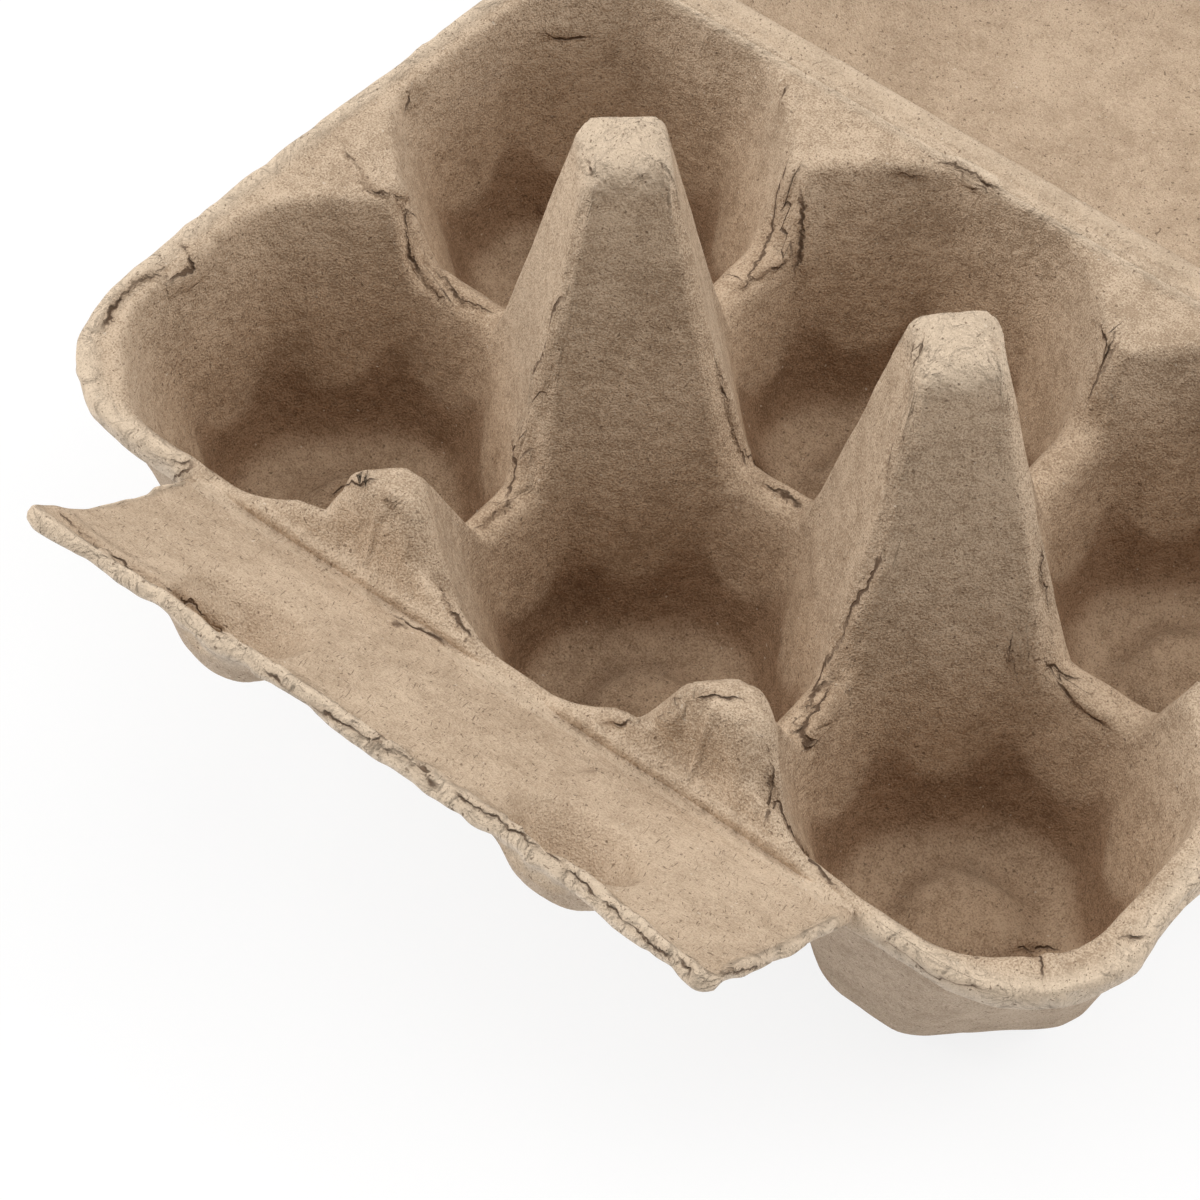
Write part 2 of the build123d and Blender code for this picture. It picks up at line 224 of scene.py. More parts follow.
@dataclass
class Sheets:
    """Grids of points gathered into one mesh, in millimetres from the tray's middle."""

    points: list[Array] = field(default_factory=list)
    faces: list[Array] = field(default_factory=list)
    count: int = 0

    def add(self, grid: Array, flip: bool = False, wrap: bool = False) -> None:
        """Add a grid (rows, columns, 3), with its faces."""
        rows, columns = grid.shape[:2]
        self.add_faces(grid.reshape(-1, 3), grid_faces(rows, columns, flip, wrap))

    def add_faces(self, points: Array, faces: Array) -> None:
        """Add points (n, 3) with the faces (m, 4) between them."""
        self.points.append(points)
        self.faces.append(faces + self.count)
        self.count += len(points)

    def mesh(self, name: str, weld: float = 0.004) -> bpy.types.Object:
        """Build the object, with points closer than weld millimetres made one.

        Args:
            name: The piece's name.
            weld: Merge distance in millimetres.

        Returns:
            The new object, still in millimetres from the tray's middle.
        """
        points = np.concatenate(self.points)
        faces = np.concatenate(self.faces)
        mesh = bpy.data.meshes.new(name)
        mesh.vertices.add(len(points))
        mesh.vertices.foreach_set("co", points.astype(np.float32).ravel())
        mesh.loops.add(faces.size)
        mesh.loops.foreach_set("vertex_index", faces.astype(np.int32).ravel())
        mesh.polygons.add(len(faces))
        mesh.polygons.foreach_set("loop_start", np.arange(0, faces.size, 4, dtype=np.int32))
        mesh.update(calc_edges=True)
        merged = bmesh.new()
        merged.from_mesh(mesh)
        bmesh.ops.remove_doubles(merged, verts=merged.verts, dist=weld)
        bmesh.ops.recalc_face_normals(merged, faces=merged.faces)
        merged.to_mesh(mesh)
        merged.free()
        mesh.update()
        mesh.polygons.foreach_set("use_smooth", np.ones(len(mesh.polygons), dtype=bool))
        obj = bpy.data.objects.new(name, mesh)
        bpy.context.scene.collection.objects.link(obj)
        return obj


def read_points(obj: bpy.types.Object) -> tuple[Array, Array]:
    """Read a mesh's points and its point normals as arrays (n, 3)."""
    mesh = obj.data
    points = np.empty(len(mesh.vertices) * 3, np.float32)
    normals = np.empty(len(mesh.vertices) * 3, np.float32)
    mesh.vertices.foreach_get("co", points)
    mesh.vertex_normals.foreach_get("vector", normals)
    return points.reshape(-1, 3).astype(float), normals.reshape(-1, 3).astype(float)


def write_points(obj: bpy.types.Object, points: Array) -> None:
    """Put an array of points (n, 3) into a mesh."""
    obj.data.vertices.foreach_set("co", points.astype(np.float32).ravel())
    obj.data.update()


def write_attribute(obj: bpy.types.Object, name: str, values: Array) -> None:
    """Store one number per point of a mesh under a name that its material reads."""
    attribute = obj.data.attributes.new(name, "FLOAT", "POINT")
    attribute.data.foreach_set("value", values.astype(np.float32))


@dataclass
class Place:
    """Where the tray's middle stands in the row frame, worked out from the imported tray."""

    back_margin: float = 50.25
    shift_y: float = field(init=False)

    def __post_init__(self) -> None:
        """Read the tray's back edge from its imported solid."""
        _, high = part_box("tray")
        self.shift_y = high.y / MM - self.back_margin

    def settle(self, obj: bpy.types.Object) -> None:
        """Turn a finished mesh's millimetres from the tray's middle into the row frame's metres.

        Args:
            obj: The object, whose points are kept above the table.
        """
        points, _ = read_points(obj)
        points[:, 1] += self.shift_y
        points[:, 2] = np.maximum(points[:, 2], 0.0)
        write_points(obj, points * MM)

    def row(self, x: float, y: float, z: float) -> Vector:
        """Give one place, in millimetres from the tray's middle, in the row frame."""
        return Vector((x, y + self.shift_y, z)) * MM


@dataclass(frozen=True)
class Dent:
    """A soft push: what lies near a place moves, by exp(-|away / reach|^2) of the whole move."""

    where: Triple
    reach: Triple
    move: Triple

    def apply(self, points: Array) -> Array:
        """Move an array of points (n, 3)."""
        away = (points - np.array(self.where)) / np.array(self.reach)
        share = np.exp(-(away**2).sum(axis=-1, keepdims=True))
        return points + share * np.array(self.move)


@dataclass
class Surface:
    """What soft pulp does to a moulded face: slow warps, lumps and rough edges, in millimetres."""

    warp: float = 0.55
    warp_period: float = 34.0
    lump: float = 0.22
    lump_period: float = 7.5
    pit: float = 0.09
    pit_period: float = 2.6
    fray: float = 0.45
    fray_period: float = 4.6
    fine_fray: float = 0.6
    fine_fray_period: float = 2.0
    fold_y: float = 50.3
    fold_reach: float = 3.5
    fold_calm: float = 0.75
    rim_z: float = 37.0
    rim_reach: float = 2.0
    rim_calm: float = 0.8
    dents: tuple[Dent, ...] = (
        Dent((-77.0, 26.0, 36.0), (12.0, 26.0, 14.0), (2.6, 0.0, 0.0)),
        Dent((-77.0, 50.0, 36.0), (16.0, 20.0, 14.0), (3.4, 0.0, 0.0)),
        Dent((-24.0, -48.0, 40.0), (5.5, 3.0, 3.4), (0.0, 0.9, -0.9)),
        Dent((24.0, -48.0, 40.0), (5.5, 3.0, 3.4), (0.0, 0.9, -0.9)),
        Dent((29.0, -40.0, 45.0), (6.0, 6.0, 7.0), (1.6, 0.9, 0.8)),
        Dent((31.0, -47.0, 24.0), (9.0, 5.0, 11.0), (1.2, 1.2, 0.0)),
        Dent((-50.0, -77.0, 51.0), (13.0, 9.0, 9.0), (-1.6, 0.0, 3.2)),
    )
    noise: Noise = field(default_factory=lambda: Noise(SEED))

    def disturb(self, obj: bpy.types.Object, edge: Array) -> None:
        """Move every point by the warp and dents, by lumps along its normal, and frayed at edges.

        Near the two folds, and up and down at the rim, the sheet stays calm, so that it can shut:
        the move is taken down by c exp(-(away / reach)^2).

        Args:
            obj: A mesh in millimetres from the tray's middle.
            edge: Share of a worn edge at each point.
        """
        points, normals = read_points(obj)
        swell = self.lump * self.noise.at(points, self.lump_period)
        swell += self.pit * self.noise.at(points, self.pit_period)
        ragged = self.noise.vector(points, self.fray_period)
        ragged += self.fine_fray * self.noise.vector(points, self.fine_fray_period)
        move = self.warp * self.noise.vector(points, self.warp_period)
        move += swell[:, None] * normals + self.fray * edge[:, None] * ragged
        above_rim = points[:, 2] - self.rim_z
        away = np.hypot(abs(points[:, 1]) - self.fold_y, above_rim)
        move *= (1.0 - self.fold_calm * np.exp(-((away / self.fold_reach) ** 2)))[:, None]
        move[:, 2] *= 1.0 - self.rim_calm * np.exp(-((above_rim / self.rim_reach) ** 2))
        moved = points + move
        for dent in self.dents:
            moved = dent.apply(moved)
        write_points(obj, moved)


@dataclass
class Tray:
    """The six cells, posts, saddles and rim, as one closed skin.

    Each cell is a fan of rays from its middle to its border. Along a ray the skin is a path of
    reach and height: floor, foot, wall, and then whatever stands between this cell and the next.
    """

    pitch_x: float = PITCH_X
    pitch_y: float = PITCH_Y
    wall: float = 2.2
    floor_z: float = 2.5
    knee_z: float = 9.0
    rim_z: float = 37.0
    floor_apothem: float = 14.0
    floor_diagonal: float = 11.5
    floor_corner: float = 3.0
    knee_apothem: float = 18.0
    knee_diagonal: float = 16.5
    knee_corner: float = 5.0
    rim_apothem: float = 24.0
    rim_diagonal_post: float = 22.1
    rim_diagonal_edge: float = 25.0
    rim_diagonal_front: float = 24.0
    rim_diagonal_corner: float = 26.7
    rim_corner: float = 12.0
    toe_z: float = 4.2
    toe_in: float = 1.7
    bulge_z: float = 10.5
    bulge_corner: float = 7.5
    disc_r: float = 7.0
    disc_rise: float = 2.0
    groove: float = 0.6
    post_top: float = 71.4
    post_top_r: float = 6.3
    post_slope: float = 0.2584
    half_top: float = 47.5
    half_top_r: float = 4.5
    half_slope: float = 0.4884
    half_y: float = -43.5
    lean: float = 0.5317
    lean_foot_y: float = -49.9
    apron_x: tuple[float, ...] = (0.0, 5.0, 7.5, 11.3, 20.0)
    apron_z: tuple[float, ...] = (41.6, 41.6, 41.6, 40.4, 37.0)
    apron_back_y: float = -45.5
    apron_fade: Pair = (1.2, -1.0)
    edge_rim_r: float = 11.5
    edge_slope: float = 0.4225
    saddle_axis: float = 22.8
    saddle_r: float = 3.2
    web_z: float = 18.0
    half_x: float = 76.5
    front_y: float = -50.05
    back_y: float = 50.25
    corner_r: float = 16.0
    rim_round: float = 0.8
    lip: float = 2.4
    lip_fade: float = 0.4
    lip_z: float = 33.0
    worn_inset: Pair = (3.4, 0.8)
    worn_z: Pair = (30.0, 33.0)
    fold_front_y: float = -40.0
    fold_x: Pair = (52.0, 49.0)
    fold_worn: float = 0.8
    top_z: Pair = (66.0, 69.5)
    top_worn: float = 0.8
    soft_low_z: Pair = (24.0, 30.0)
    soft_high_z: Pair = (68.0, 59.0)
    soft_y: Pair = (19.0, 15.0)
    soft_x: Pair = (46.0, 42.0)
    soft_share: float = 0.5
    soft_rounds: int = 14
    blur: float = 0.75
    blur_foot: float = 0.9
    blur_foot_z: Pair = (18.0, 9.0)
    blur_post: float = 0.5
    blur_post_z: Pair = (38.0, 46.0)
    blur_top: float = 1.0
    blur_top_z: Pair = (60.0, 69.0)
    band_x: float = 16.5
    band_y: float = 11.5
    side_steps: int = 46
    upper_steps: int = 56
    lower_steps: int = 26
    floor_samples: int = 60
    wall_samples: int = 300
    cap_samples: int = 120
    path_samples: int = 420

    def cells(self) -> list[Cell]:
        """List the cells as column (-1, 0, 1) and row (-1 front, 1 back)."""
        return [(column, row) for row in (-1, 1) for column in (-1, 0, 1)]

    def middle(self, cell: Cell) -> Array:
        """Give the middle of a cell."""
        return np.array([cell[0] * self.pitch_x, cell[1] * self.pitch_y / 2])

    def diagonals(self, cell: Cell) -> Array:
        """Give the rim diagonals of a cell's corners at 45, 135, 225 and 315 degrees."""
        values = []
        for side_x, side_y in ((1, 1), (-1, 1), (-1, -1), (1, -1)):
            at_end = abs(cell[0] + side_x / 2) > 1
            at_edge = cell[1] == side_y
            if at_end and at_edge:
                values.append(self.rim_diagonal_corner)
            elif at_edge and cell[1] < 0:
                values.append(self.rim_diagonal_front)
            elif at_end or at_edge:
                values.append(self.rim_diagonal_edge)
            else:
                values.append(self.rim_diagonal_post)
        return np.array(values)

    def section(self, cell: Cell, turn: Array, z: Array, side: Side) -> Array:
        """Reach of the well's wall in each direction at each height.

        The section is an octagon with rounded corners. A ray meets face k at
        a_k / cos(turn - 45 k), and an arc of radius r about c at u.c + sqrt((u.c)^2 - |c|^2 + r^2).

        Args:
            cell: Column and row.
            turn: Array (rays,), directions in radians.
            z: Array (levels,), heights.
            side: UPPER for the inside of the well, LOWER for its outside.

        Returns:
            Array (rays, levels) of distances from the cell's middle.
        """
        foot_top = self.knee_z if side is Side.LOWER else self.bulge_z
        foot = (z < foot_top)[:, None]
        grow = self.wall if side is Side.LOWER else 0.0
        from_floor = (z - self.floor_z)[:, None] / (self.knee_z - self.floor_z)
        from_knee = (z - self.knee_z)[:, None] / (self.rim_z - self.knee_z)
        diagonal = self.diagonals(cell)
        rim = np.empty(8)
        rim[0::2] = self.rim_apothem
        rim[1::2] = diagonal
        knee = np.tile([self.knee_apothem, self.knee_diagonal], 4)
        floor = np.tile([self.floor_apothem, self.floor_diagonal], 4)
        foot_slope = (knee - floor) / (self.knee_z - self.floor_z)
        wall_slope = (rim - knee) / (self.rim_z - self.knee_z)
        by_foot = floor + (knee - floor) * from_floor + grow * np.sqrt(1 + foot_slope**2)
        by_wall = knee + (rim - knee) * from_knee + grow * np.sqrt(1 + wall_slope**2)
        if side is Side.LOWER:
            reach = np.minimum(by_foot, by_wall)
            low_corner, knee_corner = self.floor_corner, self.knee_corner
        else:
            toe = knee - self.toe_in
            bulge = knee + (rim - knee) * (self.bulge_z - self.knee_z) / (self.rim_z - self.knee_z)
            to_toe = (z - self.floor_z)[:, None] / (self.toe_z - self.floor_z)
            to_bulge = (z - self.toe_z)[:, None] / (self.bulge_z - self.toe_z)
            by_foot = np.where(to_toe < 1.0, floor + (toe - floor) * to_toe, toe + (bulge - toe) * to_bulge)
            reach = np.where(foot, by_foot, by_wall)
            low_corner = knee_corner = self.bulge_corner
        radius = np.where(
            foot,
            low_corner + (knee_corner - low_corner) * np.clip(from_floor, 0.0, 1.0),
            knee_corner + (self.rim_corner - knee_corner) * np.clip(from_knee, 0.0, 1.0),
        )
        radius = radius + grow
        faces = np.arange(8) * np.pi / 4
        ray = np.stack([np.cos(turn), np.sin(turn)], axis=-1)
        facing = np.cos(turn[:, None] - faces)
        met = np.where(facing[:, None] > 0.05, reach[None] / np.maximum(facing[:, None], 0.05), np.inf)
        out = met.min(axis=-1)
        normal = np.stack([np.cos(faces), np.sin(faces)], axis=-1)
        tangent = np.stack([-np.sin(faces), np.cos(faces)], axis=-1)
        inner = reach - radius
        half = np.sqrt(0.5)
        slide = (np.roll(inner, -1, axis=1) - inner * half) / half
        centre = normal * inner[..., None] + tangent * slide[..., None]
        start = centre + radius[..., None] * normal
        end = centre + radius[..., None] * np.roll(normal, -1, axis=0)
        u = ray[:, None, None]
        past_start = start[None, ..., 0] * u[..., 1] - start[None, ..., 1] * u[..., 0] > 0
        before_end = u[..., 0] * end[None, ..., 1] - u[..., 1] * end[None, ..., 0] > 0
        along = (u * centre[None]).sum(axis=-1)
        inside = along**2 - (centre**2).sum(axis=-1)[None] + radius[None] ** 2
        arc = along + np.sqrt(np.maximum(inside, 0.0))
        in_arc = past_start & before_end & (along > 0)
        return np.where(in_arc, arc, np.inf).min(axis=-1, initial=np.inf, where=in_arc).clip(max=out)

    def cap(self, x: Array, y: Array, side: Side) -> Array:
        """Height of what stands between the wells, before they are cut into it.

        The upper face is the greatest of the saddle bars z0 + sqrt(r^2 - d^2), the tapered
        cores top - (d - r) / slope and the rim band; the lower face is the same offset by the sheet.

        Args:
            x: Array of places along X.
            y: Array of places along Y, like x.
            side: UPPER or LOWER.

        Returns:
            Array of heights, like x.
        """
        off = self.wall if side is Side.LOWER else 0.0
        near_x = np.minimum(abs(x - self.pitch_x / 2), abs(x + self.pitch_x / 2))

        def core(dx: Array, dy: Array, top: float, top_r: float, slope: float) -> Array:
            """Height of a tapered core at an offset from its axis."""
            away = np.hypot(dx, dy)
            return top - off - np.maximum(away - (top_r - off), 0.0) / slope

        if side is Side.UPPER:
            height = np.full(x.shape, self.saddle_axis)
            for away in (abs(y), near_x):
                bar = self.saddle_axis + np.sqrt(np.maximum(self.saddle_r**2 - away**2, 0.0))
                height = np.maximum(height, bar)
        else:
            height = np.full(x.shape, self.web_z)
        height = np.maximum(height, core(near_x, y, self.post_top, self.post_top_r, self.post_slope))
        end_x = abs(x) - 1.5 * self.pitch_x
        height = np.maximum(height, core(end_x, y, self.rim_z, self.edge_rim_r, self.edge_slope))
        back = core(near_x, y - self.pitch_y, self.rim_z, self.edge_rim_r, self.edge_slope)
        height = np.maximum(height, back)
        band = (abs(x) > self.half_x - self.band_x + off) | (abs(y) > self.pitch_y - self.band_y + off)
        height = np.where(band, np.maximum(height, self.rim_z - off), height)
        front = core(near_x, y - self.half_y, self.half_top, self.half_top_r, self.half_slope)
        if side is Side.UPPER:
            apron = np.interp(near_x, self.apron_x, self.apron_z)
            start, end = (self.apron_back_y + fade for fade in self.apron_fade)
            reach = smoothstep(start, end, y)
            front = np.maximum(front, self.saddle_axis + (apron - self.saddle_axis) * reach)
        lean_y = self.lean_foot_y + off * np.hypot(1.0, self.lean)
        leaning = self.rim_z - off + np.maximum(y - lean_y, 0.0) / self.lean
        front = np.where(y < -self.pitch_y / 2, np.minimum(front, leaning), 0.0)
        return np.maximum(height, front)

    def inset(self, x: Array, y: Array) -> Array:
        """Distance in from the rim's outline, a rounded rectangle, at each place near it."""
        back = y - (self.back_y - self.corner_r)
        front = self.front_y + self.corner_r - y
        dx = np.maximum(abs(x) - (self.half_x - self.corner_r), 0.0)
        return self.corner_r - np.hypot(dx, np.maximum(np.maximum(back, front), 0.0))

    def near_edge(self, points: Array) -> Array:
        """Share, from 0 to 1, of a worn edge at each point: the rim's outline and the posts' tops."""
        x, y, z = points.T
        rim = smoothstep(*self.worn_inset, self.inset(x, y)) * smoothstep(*self.worn_z, z)
        rim *= 1.0 - self.fold_worn * smoothstep(*self.fold_x, abs(x)) * (y < self.fold_front_y)
        return np.maximum(rim, self.top_worn * smoothstep(*self.top_z, z))

    def border(self, cell: Cell, inset: float) -> Array:
        """Border points of a cell, where its rays end: shared lines, or the rim's outline.

        Args:
            cell: Column and row.
            inset: Inset of the outline at the rim.

        Returns:
            Array (4 side_steps, 2), anticlockwise from the cell's low corner.
        """
        x_lines = [-self.half_x + inset, -self.pitch_x / 2, self.pitch_x / 2, self.half_x - inset]
        left, right = x_lines[cell[0] + 1], x_lines[cell[0] + 2]
        low, high = (self.front_y + inset, 0.0) if cell[1] < 0 else (0.0, self.back_y - inset)
        t = np.arange(self.side_steps) / self.side_steps

        def run(start: Pair, end: Pair) -> Array:
            """Even points from start up to, but not with, end."""
            return np.array(start) + t[:, None] * (np.array(end) - np.array(start))

        corners = [(left, low), (right, low), (right, high), (left, high)]
        points = np.concatenate([run(corners[k], corners[(k + 1) % 4]) for k in range(4)])
        # Round the carton's own corner: push points back along the way to the arc's middle.
        if cell[0] != 0:
            mid_y = self.back_y - self.corner_r if cell[1] > 0 else self.front_y + self.corner_r
            mid = np.array([cell[0] * (self.half_x - self.corner_r), mid_y])
            away = points - mid
            outside = (away[:, 0] * cell[0] > 0) & (away[:, 1] * cell[1] > 0)
            reach = np.linalg.norm(away, axis=1)
            square = np.abs(away).max(axis=1)
            fit = mid + away * (square / np.maximum(reach, 1e-6))[:, None]
            points = np.where(outside[:, None], fit, points)
        return points

    def path(self, cell: Cell, side: Side) -> Array:
        """Work out the skin of one cell as a grid of rays by steps.

        Args:
            cell: Column and row.
            side: UPPER or LOWER skin.

        Returns:
            Array (rays, steps, 3).
        """
        centre = self.middle(cell)
        border = self.border(cell, self.rim_round)
        to_border = border - centre
        limit = np.linalg.norm(to_border, axis=1)
        turn = np.arctan2(to_border[:, 1], to_border[:, 0])
        ray = to_border / limit[:, None]
        low = 0.0 if side is Side.LOWER else self.floor_z
        z = np.linspace(low, self.post_top + 1.0, self.wall_samples)
        reach = self.section(cell, turn, z, side)
        x = centre[0] + reach * ray[:, :1]
        y = centre[1] + reach * ray[:, 1:]
        above = z[None] - self.ceiling(x, y, side)
        over = reach - limit[:, None]
        done = (above >= 0) | (over >= 0)
        last = np.maximum(done.argmax(axis=1), 1)
        rows = np.arange(len(limit))

        def crossing(values: Array) -> Array:
            """Share of the last step at which values reach 0, or 1 where they don't."""
            before, after = values[rows, last - 1], values[rows, last]
            return np.where(after >= 0, before / (before - after - 1e-12), 1.0)

        share = np.clip(np.minimum(crossing(above), crossing(over)), 0.0, 1.0)
        end_r = reach[rows, last - 1] + share * (reach[rows, last] - reach[rows, last - 1])
        end_z = z[last - 1] + share * (z[last] - z[last - 1])
        stopped = np.arange(len(z))[None] >= last[:, None]
        wall_r = np.where(stopped, end_r[:, None], reach)
        wall_z = np.where(stopped, end_z[:, None], z[None])
        floor_r = np.linspace(0.0, 1.0, self.floor_samples)[None] * reach[:, :1]
        floor_z = self.floor_height(low, floor_r, side)
        cap_r = end_r[:, None] + np.linspace(0.0, 1.0, self.cap_samples)[None] * (limit - end_r)[:, None]
        cap_z = self.ceiling(centre[0] + cap_r * ray[:, :1], centre[1] + cap_r * ray[:, 1:], side)
        cap_z = np.where((limit - end_r)[:, None] < 0.02, end_z[:, None], cap_z)
        path_r = np.concatenate([floor_r, wall_r, cap_r], axis=1)
        path_z = np.concatenate([floor_z, wall_z, cap_z], axis=1)
        path = np.stack([path_r, path_z], axis=-1)
        even = resample(path, np.ones((len(path), path.shape[1] - 1)), self.path_samples)
        spread = self.blur + self.blur_foot * smoothstep(*self.blur_foot_z, even[..., 1])
        spread = spread + self.blur_post * smoothstep(*self.blur_post_z, even[..., 1])
        spread = spread + self.blur_top * smoothstep(*self.blur_top_z, even[..., 1])
        even = relax(even, limit, spread)
        if side is Side.UPPER:
            dense = 0.45 + 0.55 * smoothstep(6.0, 16.0, even[:, 1:, 0])
            dense = dense + 0.9 * smoothstep(5.0, 1.5, limit[:, None] - even[:, 1:, 0])
            path = resample(even, dense, self.upper_steps)
        else:
            path = resample(even, np.ones((len(even), even.shape[1] - 1)), self.lower_steps)
        points = np.empty((len(path), path.shape[1], 3))
        points[..., :2] = centre + path[..., :1] * ray[:, None]
        points[..., 2] = path[..., 1]
        return points

    def floor_height(self, low: float, r: Array, side: Side) -> Array:
        """Height of a cell's floor: the disc pressed up in it, and inside the cell the groove round it.

        Args:
            low: Height of the plain floor.
            r: Array of distances from the cell's middle.
            side: UPPER for the inside of the cell, LOWER for its underside.

        Returns:
            Array of heights, like r.
        """
        if side is Side.LOWER:
            return low + self.disc_rise * smoothstep(self.disc_r + 0.9, self.disc_r - 0.3, r)
        height = low + (self.disc_rise + 0.4) * smoothstep(self.disc_r + 0.9, self.disc_r - 0.9, r)
        return height - self.groove * np.exp(-(((r - self.disc_r - 2.0) / 1.2) ** 2))

    def ceiling(self, x: Array, y: Array, side: Side) -> Array:
        """Give the cap, with the rolled lip taken off the lower side near the outline."""
        height = self.cap(x, y, side)
        if side is Side.LOWER:
            drop = smoothstep(self.lip + self.lip_fade, self.lip - self.lip_fade, self.inset(x, y))
            height = height + drop * (self.lip_z - height) * (height > self.lip_z)
        return height

    def edge_strip(self, upper: dict, lower: dict) -> Array:
        """Work out the rim's rolled outer edge as a profile carried round the outline.

        The profile is two quarter rounds with a flat between, stretched at each place from the
        lower skin's border to the upper skin's.

        Args:
            upper: The upper skin's grid for each cell.
            lower: The lower skin's grid for each cell.

        Returns:
            Array (points round the rim, points of the profile, 3).
        """
        turn = np.linspace(0.0, 0.5 * np.pi, 5)
        r = self.rim_round
        tall = self.rim_z - self.lip_z
        top = [(r - r * np.sin(a), 1.0 - (r - r * np.cos(a)) / tall) for a in turn]
        low = [(r - r * np.cos(a), (r - r * np.sin(a)) / tall) for a in turn]
        cells = self.around()
        high_z = np.concatenate([self.on_outline(cell, upper[cell][:, -1, 2]) for cell in cells])
        low_z = np.concatenate([self.on_outline(cell, lower[cell][:, -1, 2]) for cell in cells])
        rings = []
        for inset, share in top + [(0.0, 0.5)] + low:
            ring = np.concatenate([self.on_outline(cell, self.border(cell, inset)) for cell in cells])
            height = low_z + (high_z - low_z) * share
            rings.append(np.concatenate([ring, height[:, None]], axis=1))
        return np.stack(rings, axis=1)

    def around(self) -> list[Cell]:
        """List the cells in order round the rim, anticlockwise from the front left."""
        return [(-1, -1), (0, -1), (1, -1), (1, 1), (0, 1), (-1, 1)]

    def on_outline(self, cell: Cell, values: Array) -> Array:
        """Pick, from one value per border point, those on the rim's outline, in order round it."""
        n = self.side_steps
        front = {(-1, -1): (3, 0), (0, -1): (0,), (1, -1): (0, 1)}
        back = {(1, 1): (1, 2), (0, 1): (2,), (-1, 1): (2, 3)}
        sides = front | back
        return np.concatenate([values[k * n : (k + 1) * n] for k in sides[cell]])

    def build(self) -> bpy.types.Object:
        """Make the tray's skin, closed round the rim."""
        sheets = Sheets()
        upper = {cell: self.path(cell, Side.UPPER) for cell in self.cells()}
        lower = {cell: self.path(cell, Side.LOWER) for cell in self.cells()}
        for cell in self.cells():
            sheets.add(upper[cell], wrap=True)
            sheets.add(lower[cell], wrap=True, flip=True)
        sheets.add(self.edge_strip(upper, lower), wrap=True)
        obj = sheets.mesh("moulded_tray")
        self.soften(obj)
        return obj

    def soften(self, obj: bpy.types.Object) -> None:
        """Round the two posts' edges: each round moves a point part of the way to its neighbours' mean.

        Args:
            obj: The tray's mesh, in millimetres from its middle.
        """
        points, _ = read_points(obj)
        ends = np.empty(len(obj.data.edges) * 2, np.int32)
        obj.data.edges.foreach_get("vertices", ends)
        ends = ends.reshape(-1, 2)
        ends = np.concatenate([ends, ends[:, ::-1]])
        count = np.bincount(ends[:, 0], minlength=len(points))[:, None]
        x, y, z = points.T
        share = smoothstep(*self.soft_low_z, z) * smoothstep(*self.soft_high_z, z)
        share *= smoothstep(*self.soft_y, abs(y))
        share *= smoothstep(*self.soft_x, abs(x))
        for _ in range(self.soft_rounds):
            sums = [np.bincount(ends[:, 0], points[ends[:, 1], k], len(points)) for k in range(3)]
            points += self.soft_share * share[:, None] * (np.stack(sums, axis=-1) / count - points)
        write_points(obj, points)


